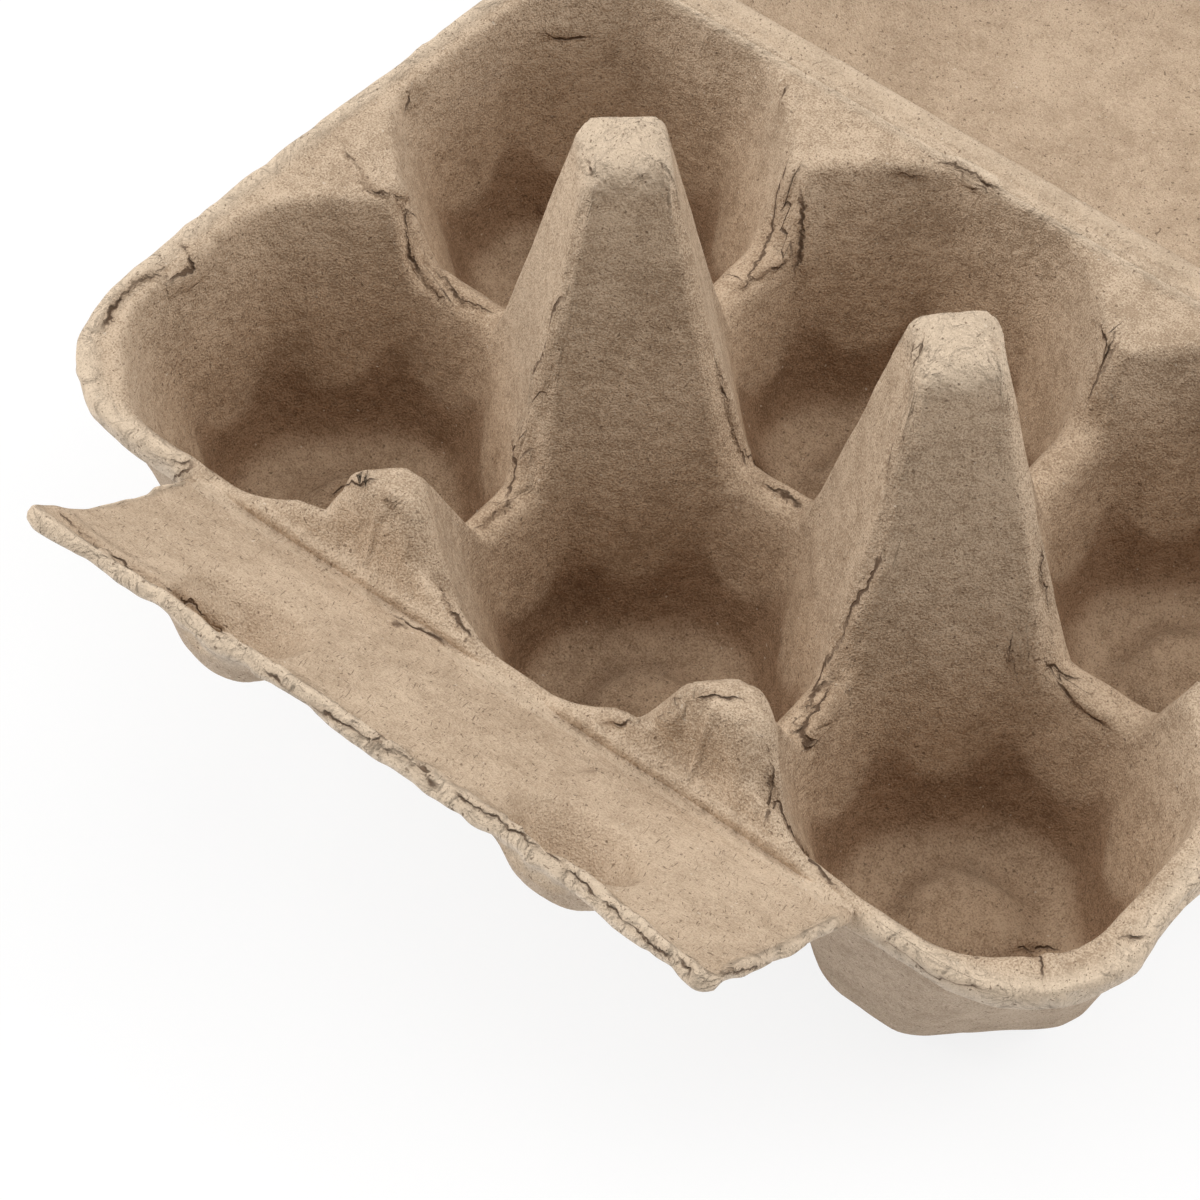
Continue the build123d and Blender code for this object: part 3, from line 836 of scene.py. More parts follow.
@dataclass
class Lid:
    """The deep lid, laid open: a rounded rectangle whose size and corners follow the depth."""

    wall: float = 2.2
    rim_z: float = 37.0
    depth: float = 34.8
    half_x: float = 76.5
    near_rim_y: float = 53.5
    near_flange_y: float = 50.55
    far_rim_y: float = 153.6
    far_flange_y: float = 156.8
    near_draft: float = 19.0
    far_draft: float = 20.0
    end_draft: float = 15.0
    shoulder: float = 53.6
    knee_depth: float = 20.0
    end_inset: float = 4.5
    flange_r: float = 16.0
    rim_r: float = 14.0
    knee_r: float = 12.0
    panel_r: float = 8.0
    relief: float = 2.6
    relief_x: float = 51.0
    slot_x: float = 24.0
    slot_half_x: float = 11.63
    slot_half_z: float = 8.25
    slot_z: float = 17.75
    slot_drop: float = 0.75
    slot_power: float = 3.4
    slot_fade: float = 1.45
    beside_slot_x: float = 36.25
    steady_x: float = 36.9
    edge: float = 0.8
    wall_levels: int = 9
    slot_levels: int = 15
    slot_steps: int = 21
    far_steps: int = 16
    near_steps: int = 90
    end_steps: int = 60
    corner_steps: int = 18
    panel_steps: int = 24

    def spans(self, depth: Array, side: Side) -> tuple[Array, ...]:
        """Half length, near Y, far Y and corner radius of the wall at each depth.

        Each is a straight line in depth; the half length is the lesser of the end wall's line
        and the shoulder's. The outer face is the same offset by the sheet.

        Args:
            depth: Array of depths below the rim.
            side: UPPER for the inside of the lid, LOWER for its outside.

        Returns:
            Four arrays like depth.
        """
        drafts = [self.end_draft, self.shoulder, self.near_draft, self.far_draft]
        end, shoulder, near, far = np.tan(np.radians(drafts))
        grow = self.wall if side is Side.LOWER else 0.0
        rim_half = self.half_x - self.end_inset
        by_end = rim_half - depth * end + grow * np.hypot(1.0, end)
        knee_half = rim_half - self.knee_depth * end
        by_shoulder = knee_half - (depth - self.knee_depth) * shoulder + grow * np.hypot(1.0, shoulder)
        near_y = self.near_rim_y + depth * near - grow * np.hypot(1.0, near)
        far_y = self.far_rim_y - depth * far + grow * np.hypot(1.0, far)
        corners = [self.rim_r, self.knee_r, self.panel_r]
        radius = np.interp(depth, [0.0, self.knee_depth, self.depth], corners)
        return np.minimum(by_end, by_shoulder), near_y, far_y, radius + grow

    def near_edge(self, points: Array) -> Array:
        """Share, from 0 to 1, of a worn edge at each point: the rim's outer edge."""
        dx = self.half_x - abs(points[:, 0])
        dy = np.minimum(points[:, 1] - self.near_flange_y, self.far_flange_y - points[:, 1])
        inset = np.minimum(dx, dy)
        return smoothstep(3.0, 0.8, inset) * smoothstep(33.0, 34.5, points[:, 2])

    def around(self) -> tuple[Array, Array, Array]:
        """Plan the samples round the lid, as which side they are on and how far along it.

        Returns:
            Arrays of side number (0 to 0.2 far wall, 1 left, 2 near, 3 right; halves are corners),
            of share along that side or corner, and of fixed X on the far wall.
        """
        slot = self.slot_x + np.array([-1, 1]) * self.slot_half_x
        inner = np.linspace(slot[0], slot[1], self.slot_steps)
        gap = np.linspace(-slot[0], slot[0], self.slot_steps)[1:-1]
        outer = np.array([self.beside_slot_x, self.steady_x])
        wall_x = np.concatenate([-outer[::-1], -inner[::-1], gap, inner, outer])[::-1]
        sides, shares, fixed = [], [], []

        def stretch(side: float, share: Array, x: Array | None = None) -> None:
            """Append one stretch of samples."""
            sides.append(np.full(len(share), side))
            shares.append(share)
            fixed.append(np.full(len(share), np.nan) if x is None else x)

        corner = np.linspace(0.0, 1.0, self.corner_steps)[1:-1]
        stretch(0.0, np.linspace(1.0, 0.0, self.far_steps)[:-1])
        stretch(0.1, np.zeros(len(wall_x)), wall_x)
        stretch(0.2, np.linspace(0.0, 1.0, self.far_steps)[1:])
        for side, steps in ((1.0, self.end_steps), (2.0, self.near_steps), (3.0, self.end_steps)):
            stretch(side - 0.5, corner)
            stretch(side, np.linspace(0.0, 1.0, steps))
        stretch(3.5, corner)
        return np.concatenate(sides), np.concatenate(shares), np.concatenate(fixed)

    def ring(self, half: Array, near: Array, far: Array, radius: Array) -> Array:
        """Carry the planned samples round a rounded rectangle of each size.

        Args:
            half: Array (levels,) of half lengths.
            near: Array (levels,) of near Y.
            far: Array (levels,) of far Y.
            radius: Array (levels,) of corner radii.

        Returns:
            Array (samples, levels, 2).
        """
        side, share, fixed = self.around()
        run = half - radius
        x = np.zeros((len(side), len(half)))
        y = np.zeros_like(x)
        share = share[:, None]
        fixed = fixed[:, None]
        limit = self.steady_x
        places = {
            0.0: (limit + (run - limit) * share, far + 0 * share),
            0.1: (fixed + 0 * run, far + 0 * share),
            0.2: (-limit - (run - limit) * share, far + 0 * share),
            1.0: (-half + 0 * share, far - radius + (near - far + 2 * radius) * share),
            2.0: (-run + 2 * run * share, near + 0 * share),
            3.0: (half + 0 * share, near + radius + (far - near - 2 * radius) * share),
        }
        starts = {0.5: (0.5, -run, far - radius), 1.5: (1.0, -run, near + radius)}
        starts |= {2.5: (1.5, run, near + radius), 3.5: (2.0, run, far - radius)}
        for key, (turn, cx, cy) in starts.items():
            angle = np.pi * (turn + 0.5 * share)
            places[key] = (cx + radius * np.cos(angle), cy + radius * np.sin(angle))
        for key, (px, py) in places.items():
            picked = side == key
            x[picked], y[picked] = px[picked], py[picked]
        return np.stack([x, y], axis=-1)

    def levels(self, side: Side) -> Array:
        """Depths of the wall's samples, with two of them on the slots' edges."""
        shift = 0.0 if side is Side.UPPER else self.slot_drop
        top = self.rim_z - (self.slot_z + self.slot_half_z) + shift
        low = self.rim_z - (self.slot_z - self.slot_half_z) + shift
        bottom = self.depth if side is Side.UPPER else self.rim_z
        start = 0.0 if side is Side.UPPER else self.wall
        above = np.linspace(start, top, self.wall_levels)
        slot = np.linspace(top, low, self.slot_levels)[1:]
        below = np.linspace(low, bottom, self.wall_levels)[1:]
        return np.concatenate([above, slot, below])

    def slot_edges(self) -> tuple[int, int]:
        """Number of the first and last level on the slots' edges."""
        return self.wall_levels - 1, self.wall_levels + self.slot_levels - 2

    def shape_slot(self, grid: Array, side: Side) -> Array:
        """Draw the samples near each slot in from a square to its rounded outline.

        With m the greater of |p| and |q|, a point (p, q) in slot half sizes moves to
        (p, q) m / (|p|^n + |q|^n)^(1/n) at m = 1, fading to no move at m = 1.45.

        Args:
            grid: Array (samples, levels, 3).
            side: Which face of the sheet.

        Returns:
            The moved grid.
        """
        grid = grid.copy()
        on_far = grid[..., 1] > (self.near_rim_y + self.far_rim_y) / 2
        middle = self.slot_z - (0.0 if side is Side.UPPER else self.slot_drop)
        for sign in (-1, 1):
            p = (grid[..., 0] - sign * self.slot_x) / self.slot_half_x
            q = (grid[..., 2] - middle) / self.slot_half_z
            square = np.maximum(abs(p), abs(q))
            rounded = (abs(p) ** self.slot_power + abs(q) ** self.slot_power) ** (1 / self.slot_power)
            scale = np.where(square > 1e-6, square / np.maximum(rounded, 1e-6), 1.0)
            fade = smoothstep(self.slot_fade, 1.0, square) * on_far
            pull = 1.0 + (scale - 1.0) * fade
            lift = (pull - 1.0) * q * self.slot_half_z
            grid[..., 0] += (pull - 1.0) * p * self.slot_half_x
            grid[..., 2] += lift
            grid[..., 1] += lift * np.tan(np.radians(self.far_draft))
        return grid

    def cut_lip(self, grid: Array, wall_y: Array) -> Array:
        """Lower the far rim between the flap's sides and take its flange off there.

        Args:
            grid: Array (samples, levels, 3).
            wall_y: Array (samples, 1), Y of the wall's outer face just under the flange.

        Returns:
            The changed grid.
        """
        grid = grid.copy()
        keep = smoothstep(self.relief_x - 0.3, self.relief_x + 1.2, abs(grid[..., 0]))
        keep = np.where(grid[..., 1] > self.far_rim_y - 4.0, keep, 1.0)
        low = self.rim_z - self.relief
        over = grid[..., 2] > low
        grid[..., 2] = np.where(over, low + (grid[..., 2] - low) * keep, grid[..., 2])
        out = grid[..., 1] - wall_y
        grid[..., 1] = np.where(out > 0, wall_y + out * keep, grid[..., 1])
        return grid

    def build(self) -> bpy.types.Object:
        """Make the lid's skin: inside, flange, outside, both panels and the slots' edges."""
        inside = self.skin(Side.UPPER)
        outside = self.skin(Side.LOWER)
        wall_y = outside[:, :1, 1]
        flange = self.flange(inside[:, 0], outside[:, 0])
        inside, outside, flange = (self.cut_lip(grid, wall_y) for grid in (inside, outside, flange))
        sheets = Sheets()
        self.add_with_slots(sheets, inside, outside)
        sheets.add(flange, wrap=True, flip=True)
        for grid, side in ((inside, Side.UPPER), (outside, Side.LOWER)):
            sheets.add(self.panel(grid[:, -1]), wrap=True, flip=side is Side.UPPER)
        return sheets.mesh("moulded_lid")

    def skin(self, side: Side) -> Array:
        """Work out one face of the walls as a grid (samples, levels, 3)."""
        depth = self.levels(side)
        ring = self.ring(*self.spans(depth, side))
        height = np.broadcast_to(self.rim_z - depth, ring.shape[:2])
        return self.shape_slot(np.concatenate([ring, height[..., None]], axis=-1), side)

    def flange(self, inner: Array, outer: Array) -> Array:
        """Carry the flange's rounded profile round the rim, from the inside edge to the outside wall.

        Args:
            inner: Array (samples, 3), top edge of the inside.
            outer: Array (samples, 3), top edge of the outside wall.

        Returns:
            Array (samples, profile points, 3).
        """
        turn = np.linspace(0.0, 0.5 * np.pi, 5)
        r = self.edge
        profile = [(r - r * np.sin(a), self.rim_z - r + r * np.cos(a)) for a in turn]
        profile += [(r - r * np.cos(a), self.rim_z - self.wall + r - r * np.sin(a)) for a in turn]
        inset = np.array([p[0] for p in profile])
        ring = self.ring(
            self.half_x - inset, self.near_flange_y + inset, self.far_flange_y - inset, self.flange_r - inset
        )
        height = np.broadcast_to([p[1] for p in profile], ring.shape[:2])
        strip = np.concatenate([ring, height[..., None]], axis=-1)
        share = np.linspace(0.0, 1.0, 5)[None, :, None]
        onto = inner[:, None] + (strip[:, :1] - inner[:, None]) * share[:, :-1]
        under = strip[:, -1:] + (outer[:, None] - strip[:, -1:]) * share[:, 1:]
        return np.concatenate([onto, strip, under], axis=1)

    def panel(self, edge: Array) -> Array:
        """Close the panel: straight lines from its edge in to its middle.

        Args:
            edge: Array (samples, 3).

        Returns:
            Array (samples, panel_steps, 3).
        """
        middle = edge.mean(axis=0)
        share = np.linspace(0.0, 1.0, self.panel_steps)[None, :, None]
        return edge[:, None] + (middle - edge[:, None]) * share

    def add_with_slots(self, sheets: Sheets, inside: Array, outside: Array) -> None:
        """Add both faces of the walls without the slots' quads, and the slots' edges between them.

        Args:
            sheets: Where the grids go.
            inside: Array (samples, levels, 3).
            outside: Array (samples, levels, 3), with the same samples and levels.
        """
        _, _, fixed = self.around()
        rows, columns = inside.shape[:2]
        first, last = self.slot_edges()
        near_slot = abs(abs(fixed) - self.slot_x) <= self.slot_half_x + 1e-6
        in_slot = near_slot & np.roll(near_slot, -1) & (np.sign(fixed) == np.sign(np.roll(fixed, -1)))
        level = np.arange(columns - 1)
        hole = in_slot[:, None] & ((level >= first) & (level < last))[None]
        faces = grid_faces(rows, columns, wrap=True).reshape(rows, columns - 1, 4)
        sheets.add_faces(inside.reshape(-1, 3), faces[~hole][:, ::-1])
        sheets.add_faces(outside.reshape(-1, 3), faces[~hole])
        both = np.concatenate([inside.reshape(-1, 3), outside.reshape(-1, 3)])
        back = rows * columns
        index = np.arange(back).reshape(rows, columns)
        after = np.roll(index, -1, axis=0)
        across = np.flatnonzero(in_slot)
        sills = []
        for k in (first, last):
            here, there = index[across, k], after[across, k]
            sills.append(np.stack([here, there, there + back, here + back], axis=-1))
        starts = np.flatnonzero(in_slot & ~np.roll(in_slot, 1))
        ends = np.flatnonzero(in_slot & ~np.roll(in_slot, -1)) + 1
        span = np.arange(first, last)
        jambs = []
        for k in np.concatenate([starts, ends]):
            here, there = index[k, span], index[k, span + 1]
            jambs.append(np.stack([here, here + back, there + back, there], axis=-1))
        edges = [sills[0], sills[1][:, ::-1]] + [jamb[:, ::-1] for jamb in jambs[:2]] + jambs[2:]
        sheets.add_faces(both, np.concatenate(edges))


@dataclass
class ClosureFlap:
    """The flap along the front, in its own plane: X along the fold, s away from it, h above it."""

    wall: float = 2.2
    rim_z: float = 37.0
    fold_y: float = -50.2
    angle: float = 31.0
    half_x: float = 49.4
    start: float = 0.25
    edge_x: tuple[float, ...] = (-49.4, -46.0, -37.0, -18.0, -1.0, 9.0, 31.0, 41.0, 47.0, 49.4)
    edge_s: tuple[float, ...] = (30.8, 31.2, 29.6, 27.9, 27.4, 27.1, 28.9, 31.0, 32.0, 31.2)
    corner_r: float = 3.0
    button_x: Pair = (-25.0, 23.5)
    button_s: float = 20.6
    base_x: float = 9.6
    base_s: float = 7.6
    button_power: float = 2.4
    button_floor: float = 0.42
    depth: float = 5.9
    outer_grow: float = 0.9
    outer_share: float = 0.72
    thin: float = 0.4
    thinnest: float = 0.6
    bead: float = 0.55
    edge: float = 0.9
    columns: int = 240
    rows: int = 84
    row_power: float = 0.85

    def dip(self, x: Array, s: Array, grow: float) -> Array:
        """Depth of the buttons below the flap's plane, D (1 - smoothstep(0.42, 1, m)).

        In a button, m is the rounded measure ((|x| / a)^n + (|s| / b)^n)^(1 / n).

        Args:
            x: Array of places along the fold.
            s: Array of places away from the fold.
            grow: How far the button is offset outwards.

        Returns:
            Array of depths, like x.
        """
        total = np.zeros(x.shape)
        for middle in self.button_x:
            p = abs(x - middle) / (self.base_x + grow)
            q = abs(s - self.button_s) / (self.base_s + grow)
            measure = (p**self.button_power + q**self.button_power) ** (1 / self.button_power)
            total += self.depth * smoothstep(1.0, self.button_floor, measure)
        return total

    def outline_s(self, x: Array) -> Array:
        """Reach of the flap's free edge at each X: a smooth line through the measured places."""
        fine = np.linspace(-self.half_x, self.half_x, 400)
        reach = np.interp(fine, self.edge_x, self.edge_s)
        window = np.hanning(33)
        padded = np.pad(reach, 16, mode="edge")
        reach = np.convolve(padded, window / window.sum(), mode="valid")
        past = np.maximum(abs(fine) - (self.half_x - self.corner_r), 0.0)
        reach -= self.corner_r - np.sqrt(np.maximum(self.corner_r**2 - past**2, 0.0))
        return np.interp(x, fine, reach)

    def near_edge(self, points: Array) -> Array:
        """Share, from 0 to 1, of a worn edge at each point."""
        cos, sin = np.cos(np.radians(self.angle)), np.sin(np.radians(self.angle))
        s = (self.fold_y - points[:, 1]) * cos + (points[:, 2] - self.rim_z) * sin
        free = smoothstep(2.2, 0.5, self.outline_s(points[:, 0]) - s)
        side = smoothstep(1.6, 0.4, self.half_x - abs(points[:, 0])) * smoothstep(1.0, 4.0, s)
        return np.maximum(free, side)

    def build(self) -> bpy.types.Object:
        """Make the flap's skin as an upper grid, a lower grid and a rounded edge between them."""
        u = np.linspace(-1.0, 1.0, self.columns)
        x = self.half_x * u[:, None]
        v = np.linspace(0.0, 1.0, self.rows)[None] ** self.row_power
        end = self.outline_s(x)
        s = self.start + (end - self.start) * v
        x = np.broadcast_to(x, s.shape)
        inside = smoothstep(0.4, 1.9, end - s)
        upper = -self.dip(x, s, 0.0) * inside
        least = -upper - self.wall + self.thin + self.thinnest
        bulge = np.maximum(self.outer_share * self.dip(x, s, self.outer_grow) * inside, least)
        lower = self.thin - self.wall - bulge
        near_edge = np.minimum(end - s, (self.half_x - abs(x)) + 0 * s)
        rounded = 1 - np.sqrt(np.clip(1 - (1 - near_edge / self.edge).clip(0, 1) ** 2, 0, 1))
        bead = smoothstep(2.4, 1.0, end - s) * smoothstep(0.0, 3.0, self.half_x - abs(x))
        half = (self.wall - self.thin) / 2
        upper = upper + self.bead * bead * (1 - rounded) - half * rounded
        lower = lower + half * rounded
        sheets = Sheets()
        top = self.place(x, s, upper)
        low = self.place(x, s, lower)
        sheets.add(top, flip=True)
        sheets.add(low)
        root = np.stack([top[:, 0], low[:, 0]], axis=1)
        sheets.add(root)
        return sheets.mesh("moulded_flap", weld=0.02)

    def place(self, x: Array, s: Array, h: Array) -> Array:
        """Lean the flap's own (x, s, h) out from the fold.

        With the flap's angle, y = y0 - s cos + h sin and z = z0 + s sin + h cos.

        Args:
            x: Array of places along the fold.
            s: Array of places away from the fold.
            h: Array of heights over the flap's plane.

        Returns:
            Array (..., 3) from the tray's middle.
        """
        cos, sin = np.cos(np.radians(self.angle)), np.sin(np.radians(self.angle))
        return np.stack([x, self.fold_y - s * cos + h * sin, self.rim_z + s * sin + h * cos], axis=-1)


@dataclass
class FoldLine:
    """The sheet's thin line at a fold: a closed profile carried along X."""

    name: str
    bodies: tuple[str, str]
    half_x: float
    profile: tuple[Pair, ...]
    start: Pair
    end: Pair
    rows: int = 200
    columns: int = 44
    taper: float = 2.0
    worn: float = 0.35

    def near_edge(self, points: Array) -> Array:
        """Share of a worn edge: a little all along a fold."""
        return np.full(len(points), self.worn)

    def build(self) -> bpy.types.Object:
        """Carry the profile along the fold, drawn in to its middle at both ends by sqrt(1 - t^2)."""
        loop = np.array(self.profile)
        fine = space_out(np.concatenate([loop, loop[:1]]), self.columns + 1)[:-1]
        x = np.linspace(-self.half_x, self.half_x, self.rows)
        t = np.clip((abs(x) - (self.half_x - self.taper)) / self.taper, 0.0, 1.0)
        share = np.sqrt(1 - t**2)[:, None, None]
        middle = fine.mean(axis=0)
        grid = np.empty((self.rows, len(fine), 3))
        grid[..., 0] = x[:, None]
        grid[..., 1:] = middle + (fine[None] - middle) * share
        sheets = Sheets()
        sheets.add(np.swapaxes(grid, 0, 1), wrap=True)
        return sheets.mesh(self.name)

    def join(self, obj: bpy.types.Object, place: Place) -> None:
        """Bake the piece's placement into its points; it is not bent."""
        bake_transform(obj)


@dataclass(frozen=True)
class PhotoView:
    """The photograph's camera, in millimetres from the tray's middle."""

    azimuth: float = 37.075
    elevation: float = 52.169
    roll: float = 1.944
    distance: float = 630.8
    lens: float = 150.26
    sensor: float = 36.0
    pixels: float = 1200.0
    target: Triple = (-17.40, -10.90, 0.0)

    def axes(self) -> Array:
        """Right, up and back of the camera as rows, turned by its roll about the view."""
        az, el, roll = np.radians([self.azimuth, self.elevation, self.roll])
        back = np.array([np.sin(az) * np.cos(el), -np.cos(az) * np.cos(el), np.sin(el)])
        right = np.array([np.cos(az), np.sin(az), 0.0])
        up = np.cross(back, right)
        turned_right = right * np.cos(roll) + up * np.sin(roll)
        turned_up = up * np.cos(roll) - right * np.sin(roll)
        return np.stack([turned_right, turned_up, back])

    def eye(self) -> Array:
        """Where the camera stands: back along its view from the target."""
        return np.array(self.target) + self.axes()[2] * self.distance

    def focal(self) -> float:
        """The focal length in pixels: lens / sensor x pixels."""
        return self.lens / self.sensor * self.pixels

    def rays(self, pixels: Array) -> Array:
        """Directions (n, 3) from the eye through photo pixels (n, 2)."""
        offset = (pixels - self.pixels / 2) / self.focal()
        local = np.stack([offset[:, 0], -offset[:, 1], -np.ones(len(offset))], axis=-1)
        return local @ self.axes()

    def project(self, points: Array) -> Array:
        """Photo pixels (n, 2) of points (n, 3)."""
        local = (points - self.eye()) @ self.axes().T
        return self.pixels / 2 + self.focal() * local[:, :2] * [1.0, -1.0] / -local[:, 2:]


@dataclass(frozen=True)
class Crack:
    """A crack or crease of the sheet, as the photo pixels along it, its width and its lift."""

    pixels: tuple[tuple[int, int], ...]
    width: float
    lift: float


CRACKS: dict[str, Crack] = {
    "left_rim_tear": Crack(
        ((104, 330), (112, 312), (122, 296), (140, 280), (150, 276), (165, 281)), 0.4, 0.7
    ),
    "left_rim_fold": Crack(((180, 240), (195, 268), (165, 281)), 0.3, 0.4),
    "left_end_ridge": Crack(((405, 210), (410, 260), (430, 285), (445, 302)), 0.3, 0.4),
    "left_saddle": Crack(((435, 270), (460, 300), (495, 315)), 0.4, 0.5),
    "left_end_top": Crack(((415, 70), (405, 115)), 0.3, 0.4),
    "left_end_crumple": Crack(((345, 150), (370, 190), (410, 200)), 0.2, 0.4),
    "back_left_rim": Crack(((540, 35), (570, 39), (590, 37)), 0.3, 0.2),
    "post_1_left_high": Crack(((562, 295), (552, 310), (547, 335), (545, 355), (532, 375)), 0.55, 0.5),
    "post_1_left_low": Crack(((512, 440), (517, 460), (515, 475), (505, 500)), 0.42, 0.4),
    "post_1_left_fine": Crack(((540, 200), (540, 220)), 0.25, 0.2),
    "post_1_top_left": Crack(((585, 157), (595, 178)), 0.35, 0.4),
    "post_1_top_right": Crack(((660, 160), (664, 180)), 0.25, 0.4),
    "post_1_right_foot": Crack(((716, 360), (724, 390), (730, 425), (748, 470)), 0.3, 0.3),
    "back_ridge_1_main": Crack(((790, 155), (777, 192), (772, 233), (758, 261), (745, 284)), 0.42, 0.5),
    "back_ridge_1_side": Crack(((800, 187), (802, 224), (800, 261), (793, 275)), 0.42, 0.4),
    "back_rim": Crack(((790, 82), (780, 100), (777, 117)), 0.35, 0.4),
    "back_saddle_1": Crack(((735, 290), (755, 280), (790, 262)), 0.3, 0.5),
    "hinge_rim_1": Crack(((892, 173), (924, 178)), 0.4, 0.4),
    "hinge_rim_2": Crack(((942, 160), (970, 173), (991, 187), (1002, 192)), 0.4, 0.5),
    "hinge_rim_3": Crack(((961, 183), (979, 192)), 0.3, 0.3),
    "back_ridge_2_main": Crack(((1099, 325), (1108, 344), (1103, 362), (1094, 385), (1087, 403)), 0.42, 0.5),
    "back_ridge_2_side": Crack(((1119, 339), (1108, 362)), 0.3, 0.4),
    "post_2_top_left": Crack(((912, 339), (910, 390)), 0.35, 0.4),
    "post_2_top_fold": Crack(((924, 334), (919, 362)), 0.25, 0.3),
    "post_2_top_right": Crack(((993, 334), (998, 362)), 0.25, 0.3),
    "post_2_left_high": Crack(((905, 400), (893, 440), (887, 480)), 0.4, 0.4),
    "post_2_left_main": Crack(((885, 545), (878, 565), (865, 590), (850, 610), (842, 640)), 0.5, 0.5),
    "post_2_left_low": Crack(((835, 645), (822, 670), (806, 705)), 0.4, 0.4),
    "post_2_right": Crack(((1040, 545), (1043, 580), (1047, 605)), 0.25, 0.3),
    "saddle_knot_1": Crack(((832, 686), (809, 718), (800, 737), (809, 750), (820, 739)), 0.45, 0.7),
    "saddle_knot_2": Crack(((805, 715), (815, 690), (835, 680)), 0.35, 0.5),
    "saddle_knot_3": Crack(((790, 730), (820, 745)), 0.35, 0.6),
    "right_saddle": Crack(((1057, 681), (1080, 709), (1108, 727)), 0.4, 0.5),
    "right_saddle_edge": Crack(((1040, 660), (1062, 672), (1080, 680)), 0.25, 0.4),
    "wall_crack": Crack(((1010, 635), (1008, 655), (1015, 675)), 0.2, 0.1),
    "middle_saddle": Crack(((755, 480), (780, 492), (805, 508)), 0.35, 0.5),
    "middle_saddle_side": Crack(((745, 455), (762, 470), (775, 478)), 0.25, 0.3),
    "left_low_saddle": Crack(((475, 530), (495, 515), (515, 500)), 0.35, 0.5),
    "half_1_curl": Crack(((382, 487), (385, 500), (395, 507), (405, 500)), 0.3, 0.5),
    "half_1_side": Crack(((440, 585), (447, 602), (460, 625), (475, 645)), 0.3, 0.4),
    "half_1_top": Crack(((325, 500), (345, 485), (380, 480)), 0.2, 0.5),
    "fold_crease_1": Crack(((387, 610), (400, 627), (420, 630), (450, 645)), 0.35, 0.4),
    "half_2_left": Crack(((677, 692), (667, 710), (655, 720)), 0.3, 0.5),
    "half_2_top": Crack(((690, 700), (715, 695), (745, 700)), 0.2, 0.5),
    "half_2_edge": Crack(((765, 770), (772, 790), (765, 825)), 0.3, 0.4),
    "half_2_ridge": Crack(((770, 765), (775, 800), (790, 830), (810, 860), (850, 905)), 0.25, 0.4),
    "mid_lip": Crack(((600, 722), (635, 725)), 0.3, 0.3),
    "flap_fibre": Crack(((577, 772), (602, 771)), 0.15, 0.0),
    "flap_root_crumple": Crack(((172, 460), (195, 465), (172, 480)), 0.3, 0.5),
    "flap_edge_1": Crack(((57, 510), (80, 532), (105, 552), (185, 600), (235, 643)), 0.2, 0.5),
    "flap_edge_2": Crack(((262, 668), (285, 688), (325, 715), (370, 740), (400, 755), (435, 780)), 0.3, 0.6),
    "flap_edge_hole_1": Crack(((370, 750), (385, 735)), 0.35, 0.3),
    "flap_edge_hole_2": Crack(((415, 760), (440, 790)), 0.5, 0.5),
    "flap_edge_3": Crack(((450, 790), (500, 822), (560, 862), (600, 900)), 0.22, 0.5),
    "flap_edge_4": Crack(((600, 900), (640, 935), (675, 962)), 0.2, 0.4),
    "right_tip_fold": Crack(((715, 970), (730, 975), (760, 967)), 0.24, 0.5),
    "right_tip_side": Crack(((675, 955), (690, 970), (685, 990)), 0.24, 0.5),
    "right_root_notch": Crack(((839, 916), (855, 907)), 0.3, 0.4),
    "front_lip_1": Crack(((873, 939), (892, 944), (933, 976), (984, 990)), 0.25, 0.5),
    "front_lip_2": Crack(((1039, 953), (1044, 980)), 0.22, 0.4),
    "front_lip_3": Crack(((1117, 939), (1149, 934)), 0.25, 0.5),
    "front_lip_4": Crack(((1010, 950), (1035, 946), (1060, 952)), 0.2, 0.4),
}


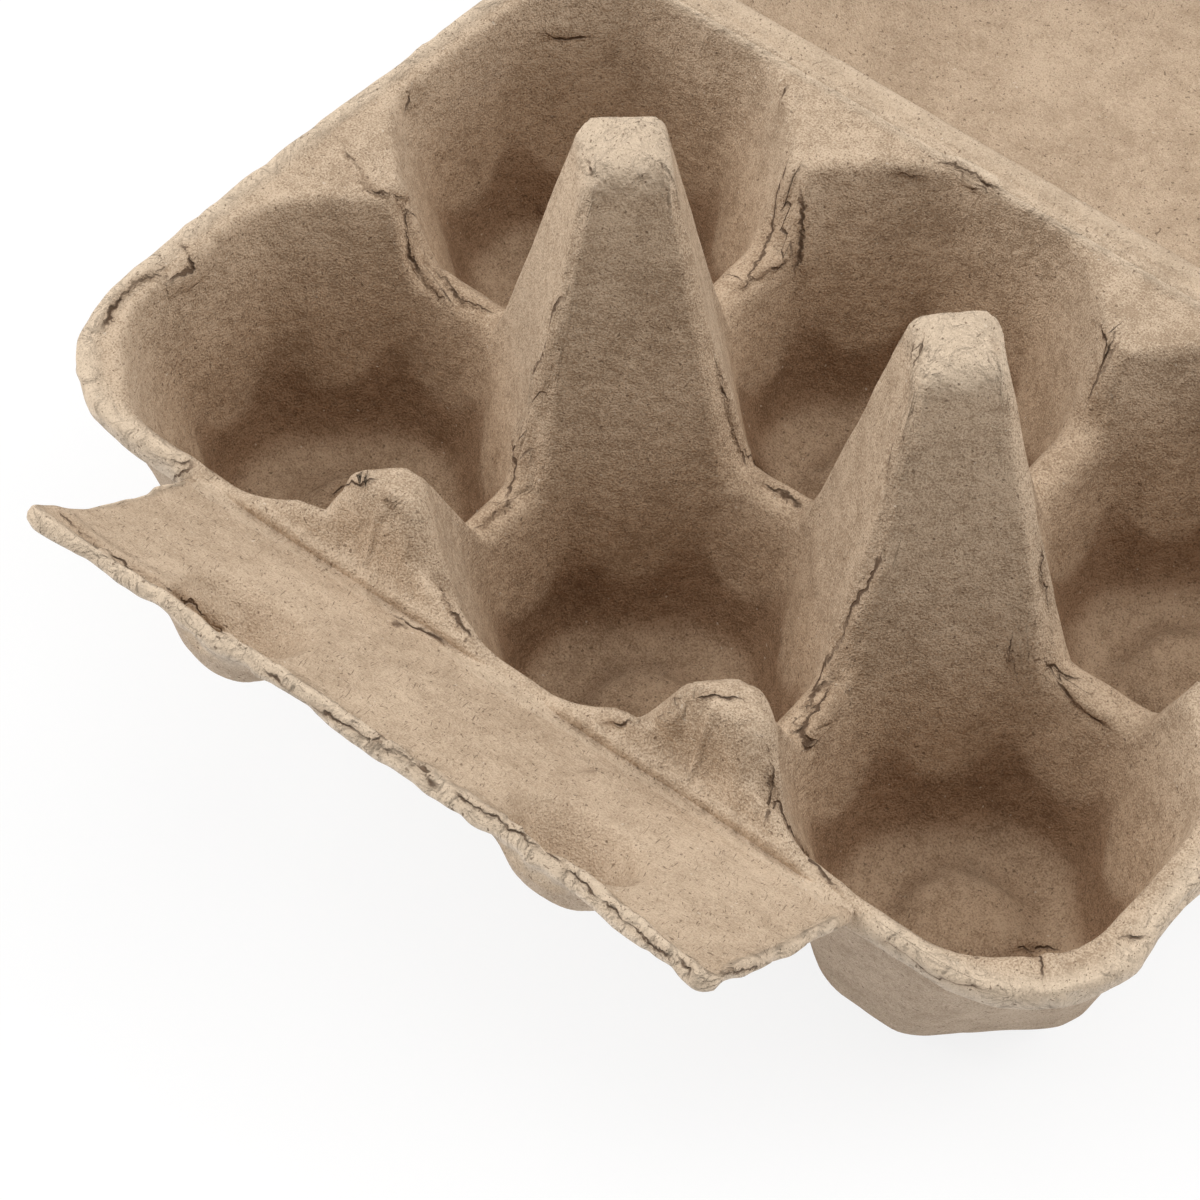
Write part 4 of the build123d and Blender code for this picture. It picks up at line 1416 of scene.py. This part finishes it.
@dataclass
class Damage:
    """Cracks laid on the pieces from the photograph's view, as a distance that materials read."""

    view: PhotoView = field(default_factory=PhotoView)
    reach: float = 3.2
    pitch: float = 5.0
    end_fade: Pair = (-0.4, 1.6)
    least_facing: float = 0.25
    plain_width: float = 0.3
    rise: float = 0.8
    rise_at: float = -0.9
    rise_reach: float = 0.9
    sink: float = 0.5
    sink_at: float = 0.5
    sink_reach: float = 0.7

    def trees(self, pieces: list[bpy.types.Object]) -> list[BVHTree]:
        """Make a search tree of each piece, in millimetres from the tray's middle.

        Args:
            pieces: The pieces that cracks may lie on.

        Returns:
            One search tree per piece, in the same order.
        """
        trees = []
        for piece in pieces:
            points, _ = read_points(piece)
            piece.data.calc_loop_triangles()
            faces = np.empty(len(piece.data.loop_triangles) * 3, np.int32)
            piece.data.loop_triangles.foreach_get("vertices", faces)
            trees.append(BVHTree.FromPolygons(points.tolist(), faces.reshape(-1, 3).tolist()))
        return trees

    def trace(self, crack: Crack, trees: list[BVHTree]) -> list[tuple[int, Array, Array]]:
        """Find where a crack's pixels meet the pieces.

        Args:
            crack: The crack.
            trees: One search tree per piece.

        Returns:
            For each sample along the crack: piece number, place and normal.
        """
        pixels = np.array(crack.pixels, float)
        steps = max(int(run_length(pixels)[-1] / self.pitch), 2)
        eye = Vector(self.view.eye())
        found = []
        for ray in self.view.rays(space_out(pixels, steps + 1)):
            hits = [tree.ray_cast(eye, Vector(ray)) for tree in trees]
            hits = [(hit[3], k, hit[0], hit[1]) for k, hit in enumerate(hits) if hit[0] is not None]
            if hits:
                _, k, where, normal = min(hits, key=lambda hit: hit[0])
                found.append((k, np.array(where), np.array(normal)))
        return found

    def measure(self, points: Array, where: Array) -> tuple[Array, Array, Array]:
        """Measure points against a crack, as a chain of straight stretches between its samples.

        Args:
            points: Array (n, 3).
            where: Array (samples, 3) along the crack.

        Returns:
            For each point: its distance, the side of the crack that it lies on in the photograph
            (-1 or 1), and how far along the crack its nearer end is.
        """
        start, along = where[:-1], np.diff(where, axis=0)
        away = points[:, None] - start
        square = np.maximum((along**2).sum(axis=-1), 1e-9)
        share = np.clip((away * along).sum(axis=-1) / square, 0.0, 1.0)
        gap = np.linalg.norm(away - share[..., None] * along, axis=-1)
        pick = gap.argmin(axis=1)
        rows = np.arange(len(points))
        run = run_length(where)
        at = run[pick] + share[rows, pick] * (run[pick + 1] - run[pick])
        pixels = self.view.project(where)
        step = np.diff(pixels, axis=0)[pick]
        offset = self.view.project(points) - pixels[:-1][pick]
        side = np.sign(step[:, 0] * offset[:, 1] - step[:, 1] * offset[:, 0])
        return gap[rows, pick], side, np.minimum(at, run[-1] - at)

    def lay(self, pieces: list[bpy.types.Object]) -> None:
        """Give every piece its crack distance and strength, and lift the sheet beside each crack.

        A point's distance is signed by the side of the crack it lies on in the photograph. Its
        strength fades with distance, towards the crack's ends and on the sheet's other face. One
        lip rises by exp(-((distance + 0.9) / 0.9)^2) of the lift and the other sinks likewise.

        Args:
            pieces: Objects in millimetres from the tray's middle.
        """
        trees = self.trees(pieces)
        traces = [(crack, self.trace(crack, trees)) for crack in CRACKS.values()]
        for number, piece in enumerate(pieces):
            points, normals = read_points(piece)
            nearest = np.full(len(points), self.reach + 1.0)
            signed = nearest.copy()
            strength = np.zeros(len(points))
            width = np.full(len(points), self.plain_width)
            lift = np.zeros(len(points))
            for crack, trace in traces:
                where = np.array([place for k, place, _ in trace if k == number])
                if len(where) < 2:
                    continue
                facing = np.mean([normal for k, _, normal in trace if k == number], axis=0)
                low, high = where.min(axis=0) - self.reach, where.max(axis=0) + self.reach
                inside = ((points > low) & (points < high)).all(axis=1)
                near = np.flatnonzero(inside & (normals @ facing > self.least_facing))
                if len(near) == 0:
                    continue
                distance, side, to_end = self.measure(points[near], where)
                fade = smoothstep(self.reach, 0.6 * self.reach, distance) * smoothstep(*self.end_fade, to_end)
                better = distance < nearest[near]
                index = near[better]
                nearest[index] = distance[better]
                signed[index] = (distance * side)[better]
                strength[index] = fade[better]
                width[index] = crack.width
                lift[index] = crack.lift
            rise = lift * strength * np.exp(-(((signed - self.rise_at) / self.rise_reach) ** 2))
            sink = lift * strength * np.exp(-(((signed - self.sink_at) / self.sink_reach) ** 2))
            write_points(piece, points + (self.rise * rise - self.sink * sink)[:, None] * normals)
            write_attribute(piece, "crack_distance", np.clip(signed, -self.reach, self.reach))
            write_attribute(piece, "crack_strength", strength)
            write_attribute(piece, "crack_width", width)


@dataclass
class Nodes:
    """Short ways to add and join the nodes of one material."""

    tree: bpy.types.NodeTree

    def add(self, kind: str, **settings: object) -> bpy.types.Node:
        """Add a node of a kind, with its settings."""
        node = self.tree.nodes.new(kind)
        for name, value in settings.items():
            setattr(node, name, value)
        return node

    def put(self, socket: Socket, value: object) -> None:
        """Join a socket to another one, or set its number."""
        if isinstance(value, Socket):
            self.tree.links.new(value, socket)
        else:
            socket.default_value = value

    def math(self, operation: str, *values: object) -> Socket:
        """Reckon with up to three numbers by one of Blender's operations."""
        node = self.add("ShaderNodeMath", operation=operation)
        for socket, value in zip(node.inputs, values):
            self.put(socket, value)
        return node.outputs[0]

    def vector(self, operation: str, *values: object) -> Socket:
        """Reckon with up to three vectors by one of Blender's operations."""
        node = self.add("ShaderNodeVectorMath", operation=operation)
        for socket, value in zip(node.inputs, values):
            self.put(socket, value)
        return node.outputs[0]

    def greatest(self, values: list[Socket]) -> Socket:
        """Keep the greatest of several numbers."""
        most = values[0]
        for value in values[1:]:
            most = self.math("MAXIMUM", most, value)
        return most

    def sway(self, value: Socket, amount: object, onto: object) -> Socket:
        """Add a noise's swing about its middle: (value - 0.5) amount + onto."""
        return self.math("MULTIPLY_ADD", self.math("SUBTRACT", value, 0.5), amount, onto)

    def noise(self, where: Socket, period: float, detail: float = 2.0) -> bpy.types.Node:
        """Add noise whose lumps are a period apart, in millimetres."""
        node = self.add("ShaderNodeTexNoise")
        self.put(node.inputs["Vector"], where)
        node.inputs["Scale"].default_value = 1.0 / period
        node.inputs["Detail"].default_value = detail
        return node

    def rise(self, value: Socket, low: object, high: object, top: float = 1.0) -> Socket:
        """Rise smoothly from 0 at low to top at high."""
        node = self.add("ShaderNodeMapRange", interpolation_type="SMOOTHSTEP")
        for socket, number in zip(node.inputs, (value, low, high, 0.0, top)):
            self.put(socket, number)
        return node.outputs[0]

    def hairs(self, where: Socket, turn: Triple, size: Pair) -> Socket:
        """Add noise drawn out into hairs along a turned axis.

        Args:
            where: Places in millimetres.
            turn: The axis, as angles about X, Y and Z.
            size: Length and width of a hair in millimetres.

        Returns:
            The noise, high on each hair.
        """
        node = self.add("ShaderNodeMapping", vector_type="TEXTURE")
        self.put(node.inputs["Vector"], where)
        node.inputs["Rotation"].default_value = turn
        node.inputs["Scale"].default_value = (size[0], size[1], size[1])
        return self.noise(node.outputs[0], 1.0, 0.0).outputs[0]

    def tint(self, share: object, first: object, second: object, way: str = "MIX") -> Socket:
        """Mix two colours, by a share of the second."""
        node = self.add("ShaderNodeMix", data_type="RGBA", blend_type=way)
        self.put(node.inputs[0], share)
        self.put(node.inputs[6], first)
        self.put(node.inputs[7], second)
        return node.outputs[2]

    def multiply_tint(self, share: object, colour: Socket, multiply_tint: Triple) -> Socket:
        """Multiply a colour by a tint, by a share of it: for painted shade and for the outside's tint."""
        return self.tint(share, colour, self.tint(1.0, colour, (*multiply_tint, 1.0), "MULTIPLY"))

    def reading(self, name: str) -> Socket:
        """Read one of the mesh's own numbers."""
        return self.add("ShaderNodeAttribute", attribute_name=name).outputs["Fac"]


@dataclass(frozen=True)
class Texture:
    """The readings that the pulp's colour and relief share: places in millimetres and noises on them."""

    place: Socket
    curl: Socket
    mottle: Socket
    pebble: Socket
    grain: Socket
    shred: Socket
    edge: Socket
    distance: Socket


@dataclass(frozen=True)
class Pulp:
    """Moulded grey-brown pulp: mottled, with hairs, specks, worn pale edges, cracks and painted shade.

    Colours are linear, and periods and sizes are millimetres. A pair of limits is where a noise
    starts to count and where it counts in full. A pair of swings is how far a noise moves the
    tone between deep and pale, and how much further on the coarse inside of the tray.
    """

    pale: Triple = (0.588, 0.452, 0.325)
    deep: Triple = (0.357, 0.257, 0.172)
    worn: Triple = (0.720, 0.585, 0.440)
    # well and foot are painted shade: darker colour down in the tray's wells and low on their walls.
    well: Triple = (0.88, 0.825, 0.77)
    foot: Triple = (0.66, 0.585, 0.53)
    outside: Triple = (0.98, 1.02, 1.09)
    speck: Triple = (0.120, 0.075, 0.045)
    fleck: Triple = (0.700, 0.600, 0.480)
    split: Triple = (0.120, 0.075, 0.047)
    # Painted shadow beside each crack.
    painted_crack_shadow: Triple = (0.62, 0.55, 0.50)
    roughness: float = 0.96
    specular: float = 0.15
    swirl_period: float = 5.0
    curl: float = 1.8
    blotch_period: float = 24.0
    blotch_swing: float = 0.9
    mottle_period: float = 4.2
    mottle_swing: Pair = (0.95, 0.3)
    pebble_period: float = 1.4
    pebble_swing: Pair = (0.6, 0.7)
    grain_period: float = 0.25
    grain_swing: Pair = (1.5, 1.5)
    hair_size: Pair = (2.4, 0.20)
    hair_limits: Pair = (0.60, 0.76)
    hair_swing: float = 0.18
    hair_turns: tuple[Triple, ...] = ((0.2, 0.1, 0.4), (0.5, 0.0, 2.5), (0.3, 1.2, 0.2), (0.9, -0.8, 1.1))
    worn_share: float = 0.62
    thread_size: Pair = (1.7, 0.15)
    thread_turn: Triple = (0.7, 0.5, 1.9)
    thread_limits: Pair = (0.705, 0.79)
    speck_period: float = 0.50
    speck_limits: Pair = (0.75, 0.81)
    speck_share: float = 0.66
    fleck_period: float = 0.55
    fleck_shift: Triple = (31.0, 17.0, 5.0)
    fleck_limits: Pair = (0.82, 0.86)
    fleck_share: float = 0.5
    stray: float = 1.6
    bold_width: Pair = (0.36, 0.44)
    crack_share: float = 0.95
    wrinkle_share: float = 0.25
    shred_period: float = 2.6
    shred_swirl: float = 6.0
    pebble_height: float = 0.42
    grain_height: float = 0.22
    shred_height: float = 2.2
    cut_height: float = -0.40
    lip_height: float = 0.42

    def material(self) -> bpy.types.Material:
        """Build the finish from Object coordinates in millimetres and the mesh's own numbers."""
        material = bpy.data.materials.new("moulded_pulp")
        material.use_nodes = True
        nodes = Nodes(material.node_tree)
        shader = material.node_tree.nodes["Principled BSDF"]
        shader.inputs["Roughness"].default_value = self.roughness
        shader.inputs["Specular IOR Level"].default_value = self.specular
        texture = self.texture(nodes)
        colour = self.specks(nodes, texture, self.plain(nodes, texture))
        line, soft = self.crack(nodes, texture)
        cut = nodes.math("MULTIPLY", self.wrinkle(nodes, texture), self.wrinkle_share)
        cut = nodes.math("MAXIMUM", nodes.math("MULTIPLY", line, self.crack_share), cut)
        # soft is a painted shadow beside each crack.
        colour = nodes.tint(cut, nodes.multiply_tint(soft, colour, self.painted_crack_shadow), (*self.split, 1.0))
        nodes.put(shader.inputs["Base Color"], colour)
        bump = nodes.add("ShaderNodeBump")
        bump.inputs["Strength"].default_value = 1.0
        bump.inputs["Distance"].default_value = MM
        nodes.put(bump.inputs["Height"], self.relief(nodes, texture, cut))
        nodes.put(shader.inputs["Normal"], bump.outputs[0])
        return material

    def texture(self, nodes: Nodes) -> Texture:
        """Add the noises and readings that colour and relief share."""
        metres = nodes.add("ShaderNodeTexCoord").outputs["Object"]
        place = nodes.vector("MULTIPLY", metres, (1 / MM,) * 3)
        swirl = nodes.noise(place, self.swirl_period, 0.0).outputs[1]
        curl = nodes.vector("MULTIPLY_ADD", swirl, (self.curl,) * 3, place)
        twist = nodes.vector("MULTIPLY_ADD", swirl, (self.shred_swirl,) * 3, place)
        pebble = nodes.noise(place, self.pebble_period).outputs[0]
        return Texture(
            place=place,
            curl=curl,
            mottle=nodes.noise(curl, self.mottle_period).outputs[0],
            pebble=pebble,
            grain=nodes.noise(place, self.grain_period, 1.0).outputs[0],
            shred=nodes.noise(twist, self.shred_period).outputs[0],
            edge=nodes.reading("worn_edge"),
            distance=nodes.sway(pebble, self.stray, nodes.reading("crack_distance")),
        )

    def plain(self, nodes: Nodes, texture: Texture) -> Socket:
        """Mix the ground colour: deep to pale by the tone, worn at edges, then painted shade and a tint by
        place.
        """
        coarse = nodes.reading("coarse")
        blotch = nodes.noise(texture.place, self.blotch_period, 1.0).outputs[0]
        tone = nodes.sway(blotch, self.blotch_swing, 0.5)
        for name in ("mottle", "grain", "pebble"):
            swing, more = getattr(self, f"{name}_swing")
            tone = nodes.sway(getattr(texture, name), nodes.math("MULTIPLY_ADD", coarse, more, swing), tone)
        hairs = [nodes.hairs(texture.curl, turn, self.hair_size) for turn in self.hair_turns]
        hair = nodes.greatest([nodes.rise(noise, *self.hair_limits) for noise in hairs])
        tone = nodes.math("MULTIPLY_ADD", hair, self.hair_swing, tone)
        colour = nodes.tint(tone, (*self.deep, 1.0), (*self.pale, 1.0))
        worn = nodes.math("MULTIPLY", texture.edge, self.worn_share)
        colour = nodes.tint(worn, colour, (*self.worn, 1.0))
        # well and foot paint shade into the wells and their feet; outside tints faces that look down.
        for name in ("well", "foot", "outside"):
            colour = nodes.multiply_tint(nodes.reading(name), colour, getattr(self, name))
        return colour

    def specks(self, nodes: Nodes, texture: Texture, colour: Socket) -> Socket:
        """Scatter dark threads and specks and a few pale flecks over a colour."""
        thread = nodes.hairs(texture.curl, self.thread_turn, self.thread_size)
        thread = nodes.rise(thread, *self.thread_limits, self.speck_share)
        dot = nodes.noise(texture.place, self.speck_period, 0.0).outputs[0]
        dot = nodes.rise(dot, *self.speck_limits, self.speck_share)
        colour = nodes.tint(nodes.math("MAXIMUM", thread, dot), colour, (*self.speck, 1.0))
        elsewhere = nodes.vector("ADD", texture.place, self.fleck_shift)
        fleck = nodes.noise(elsewhere, self.fleck_period, 0.0).outputs[0]
        return nodes.tint(nodes.rise(fleck, *self.fleck_limits, self.fleck_share), colour, (*self.fleck, 1.0))

    def crack(self, nodes: Nodes, texture: Texture) -> tuple[Socket, Socket]:
        """Draw the cracks: a line of uneven width, broken where it is thin, and a painted shadow beside it.

        Args:
            nodes: The material's nodes.
            texture: The shared readings; the mottling makes the line uneven.

        Returns:
            The line and the painted shadow beside it, as shares.
        """
        strength = nodes.reading("crack_strength")
        wide = nodes.reading("crack_width")
        bold = nodes.rise(wide, *self.bold_width)
        whole = nodes.math("MAXIMUM", nodes.rise(texture.mottle, 0.40, 0.56), bold)
        uneven = nodes.math("MULTIPLY_ADD", nodes.rise(texture.mottle, 0.35, 0.65), 0.6, 0.5)
        width = nodes.math("MULTIPLY", wide, uneven)
        away = nodes.math("ABSOLUTE", texture.distance)
        line = nodes.rise(away, width, nodes.math("MULTIPLY", width, 0.2))
        line = nodes.math("MULTIPLY", nodes.math("MULTIPLY", line, strength), whole)
        return line, nodes.math("MULTIPLY", nodes.rise(away, 0.9, 0.05, 0.38), strength)

    def wrinkle(self, nodes: Nodes, texture: Texture) -> Socket:
        """Draw fine wrinkles at worn edges, along the shreds' middle value, in patches."""
        ridge = nodes.math("ABSOLUTE", nodes.math("SUBTRACT", texture.shred, 0.5))
        worn = nodes.rise(texture.edge, 0.3, 0.9)
        wrinkle = nodes.math("MULTIPLY", nodes.rise(ridge, 0.022, 0.004), worn)
        return nodes.math("MULTIPLY", wrinkle, nodes.rise(texture.mottle, 0.50, 0.60))

    def relief(self, nodes: Nodes, texture: Texture, cut: Socket) -> Socket:
        """Add up the fine relief: pebbles, grain, shredded edges, cuts and each crack's raised lip."""
        lip = nodes.math("MULTIPLY", nodes.rise(texture.distance, 0.5, -0.3), nodes.reading("crack_strength"))
        torn = nodes.math("MULTIPLY", texture.shred, texture.edge)
        height = nodes.math("MULTIPLY", texture.pebble, self.pebble_height)
        rest = (
            (texture.grain, self.grain_height),
            (torn, self.shred_height),
            (cut, self.cut_height),
            (lip, self.lip_height),
        )
        for share, tall in rest:
            height = nodes.math("MULTIPLY_ADD", share, tall, height)
        return height


@dataclass
class Studio:
    """Floor, light and the camera at the photograph's angle; the floor and lamps are in metres."""

    view: PhotoView = field(default_factory=PhotoView)
    floor_size: float = 6.0
    floor_z: float = -0.3
    whiteness: float = 0.84
    room: float = 0.44
    lamp_size: float = 1.2
    lamp_distance: float = 1.6
    lamps: tuple[tuple[str, Triple, float], ...] = (
        ("left_box", (-0.85, -0.45, 0.75), 17.5),
        ("right_box", (0.75, 0.75, 0.85), 14.0),
        ("top_box", (0.0, 0.1, 1.0), 7.0),
    )

    def camera(self, place: Place) -> None:
        """Place the camera where the photograph's stood."""
        data = bpy.data.cameras.new("camera")
        data.lens = self.view.lens
        data.sensor_width = self.view.sensor
        data.clip_start = 0.05
        data.clip_end = 20.0
        camera = bpy.data.objects.new("camera", data)
        basis = Matrix(self.view.axes().tolist()).transposed().to_4x4()
        camera.matrix_world = Matrix.Translation(place.row(*self.view.eye())) @ basis
        bpy.context.scene.collection.objects.link(camera)
        bpy.context.scene.camera = camera

    def lamp(self, name: str, direction: Triple, power: float) -> None:
        """Hang a square soft light.

        Args:
            name: The lamp's name.
            direction: From the carton towards the lamp.
            power: Watts.
        """
        data = bpy.data.lights.new(name, "AREA")
        data.size = self.lamp_size
        data.energy = power
        lamp = bpy.data.objects.new(name, data)
        way = Vector(direction).normalized()
        lamp.location = way * self.lamp_distance
        lamp.rotation_mode = "QUATERNION"
        lamp.rotation_quaternion = way.to_track_quat("Z", "Y")
        bpy.context.scene.collection.objects.link(lamp)

    def floor(self) -> None:
        """Lay the plain pale floor."""
        half = self.floor_size / 2
        mesh = bpy.data.meshes.new("floor")
        corners = [(-half, -half), (half, -half), (half, half), (-half, half)]
        mesh.from_pydata([(x, y, self.floor_z * MM) for x, y in corners], [], [(0, 1, 2, 3)])
        obj = bpy.data.objects.new("floor", mesh)
        bpy.context.scene.collection.objects.link(obj)
        material = bpy.data.materials.new("pale_floor")
        material.use_nodes = True
        nodes = Nodes(material.node_tree)
        shader = material.node_tree.nodes["Principled BSDF"]
        shader.inputs["Base Color"].default_value = (0.95, 0.95, 0.95, 1.0)
        shader.inputs["Roughness"].default_value = 0.9
        white = nodes.add("ShaderNodeEmission")
        path = nodes.add("ShaderNodeLightPath").outputs
        seen = nodes.math("MAXIMUM", path["Is Camera Ray"], path["Is Glossy Ray"])
        seen = nodes.math("MAXIMUM", seen, path["Is Transmission Ray"])
        seen = nodes.math("MULTIPLY", seen, self.whiteness)
        mix = nodes.add("ShaderNodeMixShader")
        for socket, value in zip(mix.inputs, (seen, shader.outputs[0], white.outputs[0])):
            nodes.put(socket, value)
        nodes.put(material.node_tree.nodes["Material Output"].inputs[0], mix.outputs[0])
        mesh.materials.append(material)

    def world(self) -> None:
        """Fill the surroundings with soft white."""
        world = bpy.data.worlds.new("soft_room")
        world.use_nodes = True
        background = world.node_tree.nodes["Background"]
        background.inputs["Color"].default_value = (1.0, 1.0, 1.0, 1.0)
        background.inputs["Strength"].default_value = self.room
        bpy.context.scene.world = world

    def build(self, place: Place) -> None:
        """Set up the camera, the lamps, the floor and the view transform."""
        self.camera(place)
        self.world()
        self.floor()
        for lamp in self.lamps:
            self.lamp(*lamp)
        bpy.context.scene.view_settings.view_transform = "Standard"


@dataclass(frozen=True)
class PaintedShadeAndTints:
    """Painted shade down in the wells and on their feet, a tint on faces that look down, and the coarse
    inside.
    """

    inside_up: Pair = (-0.12, 0.08)
    within_y: Pair = (51.5, 49.0)
    well_z: Pair = (36.0, 15.0)
    foot_z: float = 10.4
    foot_lobe: float = 5.6
    foot_fade: float = 1.3
    foot_low_z: Pair = (2.6, 5.0)
    foot_away: Pair = (11.0, 13.5)
    foot_thinning: float = 0.45
    foot_thin_z: Pair = (10.0, 16.0)
    ring: float = 0.4
    ring_r: float = 8.8
    ring_width: float = 0.9
    ring_z: float = 6.5

    def store(self, obj: bpy.types.Object) -> None:
        """Store a mesh's share of painted shade and tint; faces that look up count as the inside.

        The foot's painted shade reaches lobe (0.5 - 0.5 cos(8 turn))^2 higher between the well's eight faces.

        Args:
            obj: A mesh in millimetres from the tray's middle.
        """
        points, normals = read_points(obj)
        x, y, z = points.T
        inside = smoothstep(*self.inside_up, normals[:, 2])
        within = smoothstep(*self.within_y, abs(y))
        x = x - PITCH_X * np.clip(np.rint(x / PITCH_X), -1, 1)
        y = abs(y) - PITCH_Y / 2
        away = np.hypot(x, y)
        # The foot's painted shade: darker low on the well's walls, reaching higher between its faces.
        top = self.foot_z + self.foot_lobe * (0.5 - 0.5 * np.cos(8 * np.arctan2(y, x))) ** 2
        foot = smoothstep(top + self.foot_fade, top - self.foot_fade, z) * smoothstep(*self.foot_low_z, z)
        foot *= smoothstep(*self.foot_away, away)
        foot *= 1 - self.foot_thinning * smoothstep(*self.foot_thin_z, z)
        # A ring of painted shade in the groove round the floor's disc.
        foot += self.ring * np.exp(-(((away - self.ring_r) / self.ring_width) ** 2)) * (z < self.ring_z)
        # well and foot are painted shade; outside is a tint on faces that look down.
        write_attribute(obj, "well", inside * within * smoothstep(*self.well_z, z))
        write_attribute(obj, "foot", inside * within * foot)
        write_attribute(obj, "outside", 1.0 - inside)
        write_attribute(obj, "coarse", inside * within)


FLAP_FOLD = FoldLine(
    name="flap_fold_line",
    bodies=("tray", "closure_flap"),
    half_x=49.3,
    profile=(
        (-48.7, 36.5), (-49.1, 36.9), (-49.7, 37.0), (-50.3, 37.12), (-50.8, 37.4), (-51.6, 37.87),
        (-52.5, 38.33), (-52.9, 38.2), (-52.9, 37.2), (-51.2, 35.8), (-48.8, 35.5),
    ),
    start=(-49.0, 37.0),
    end=(-52.0, 38.0),
)
HINGE_LINE = FoldLine(
    name="lid_hinge_line",
    bodies=("tray", "lid"),
    half_x=60.0,
    profile=(
        (48.5, 36.6), (49.0, 37.1), (49.5, 37.35), (50.0, 37.15), (50.4, 36.85), (50.9, 37.15),
        (51.6, 37.42), (52.7, 37.42), (53.3, 37.15), (53.7, 36.6), (53.2, 35.8), (50.4, 35.2), (48.8, 35.6),
    ),
    start=(49.2, 37.0),
    end=(51.9, 37.0),
)


def main() -> None:
    """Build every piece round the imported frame."""
    logging.basicConfig(level=logging.INFO, format="%(name)s: %(message)s")
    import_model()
    place = Place()
    Studio().build(place)
    surface = Surface()
    shade_and_tints = PaintedShadeAndTints()
    finish = Pulp().material()
    nodes = ("tray", "lid", "closure_flap")
    folds = (FLAP_FOLD, HINGE_LINE)
    builders = (Tray(), Lid(), ClosureFlap(), *folds)
    pieces = []
    for builder in builders:
        piece = builder.build()
        points, _ = read_points(piece)
        edge = builder.near_edge(points)
        surface.disturb(piece, edge)
        write_attribute(piece, "worn_edge", edge)
        shade_and_tints.store(piece)
        piece.data.materials.append(finish)
        pieces.append(piece)
    Damage().lay(pieces)
    for piece in pieces:
        place.settle(piece)
    for piece, node in zip(pieces, nodes):
        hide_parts(node)
        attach(piece, node)
    for piece, fold in zip(pieces[len(nodes) :], folds):
        fold.join(piece, place)
    for piece in pieces:
        LOG.info("%s: %d points, %d faces", piece.name, len(piece.data.vertices), len(piece.data.polygons))


if __name__ == "__main__":
    main()
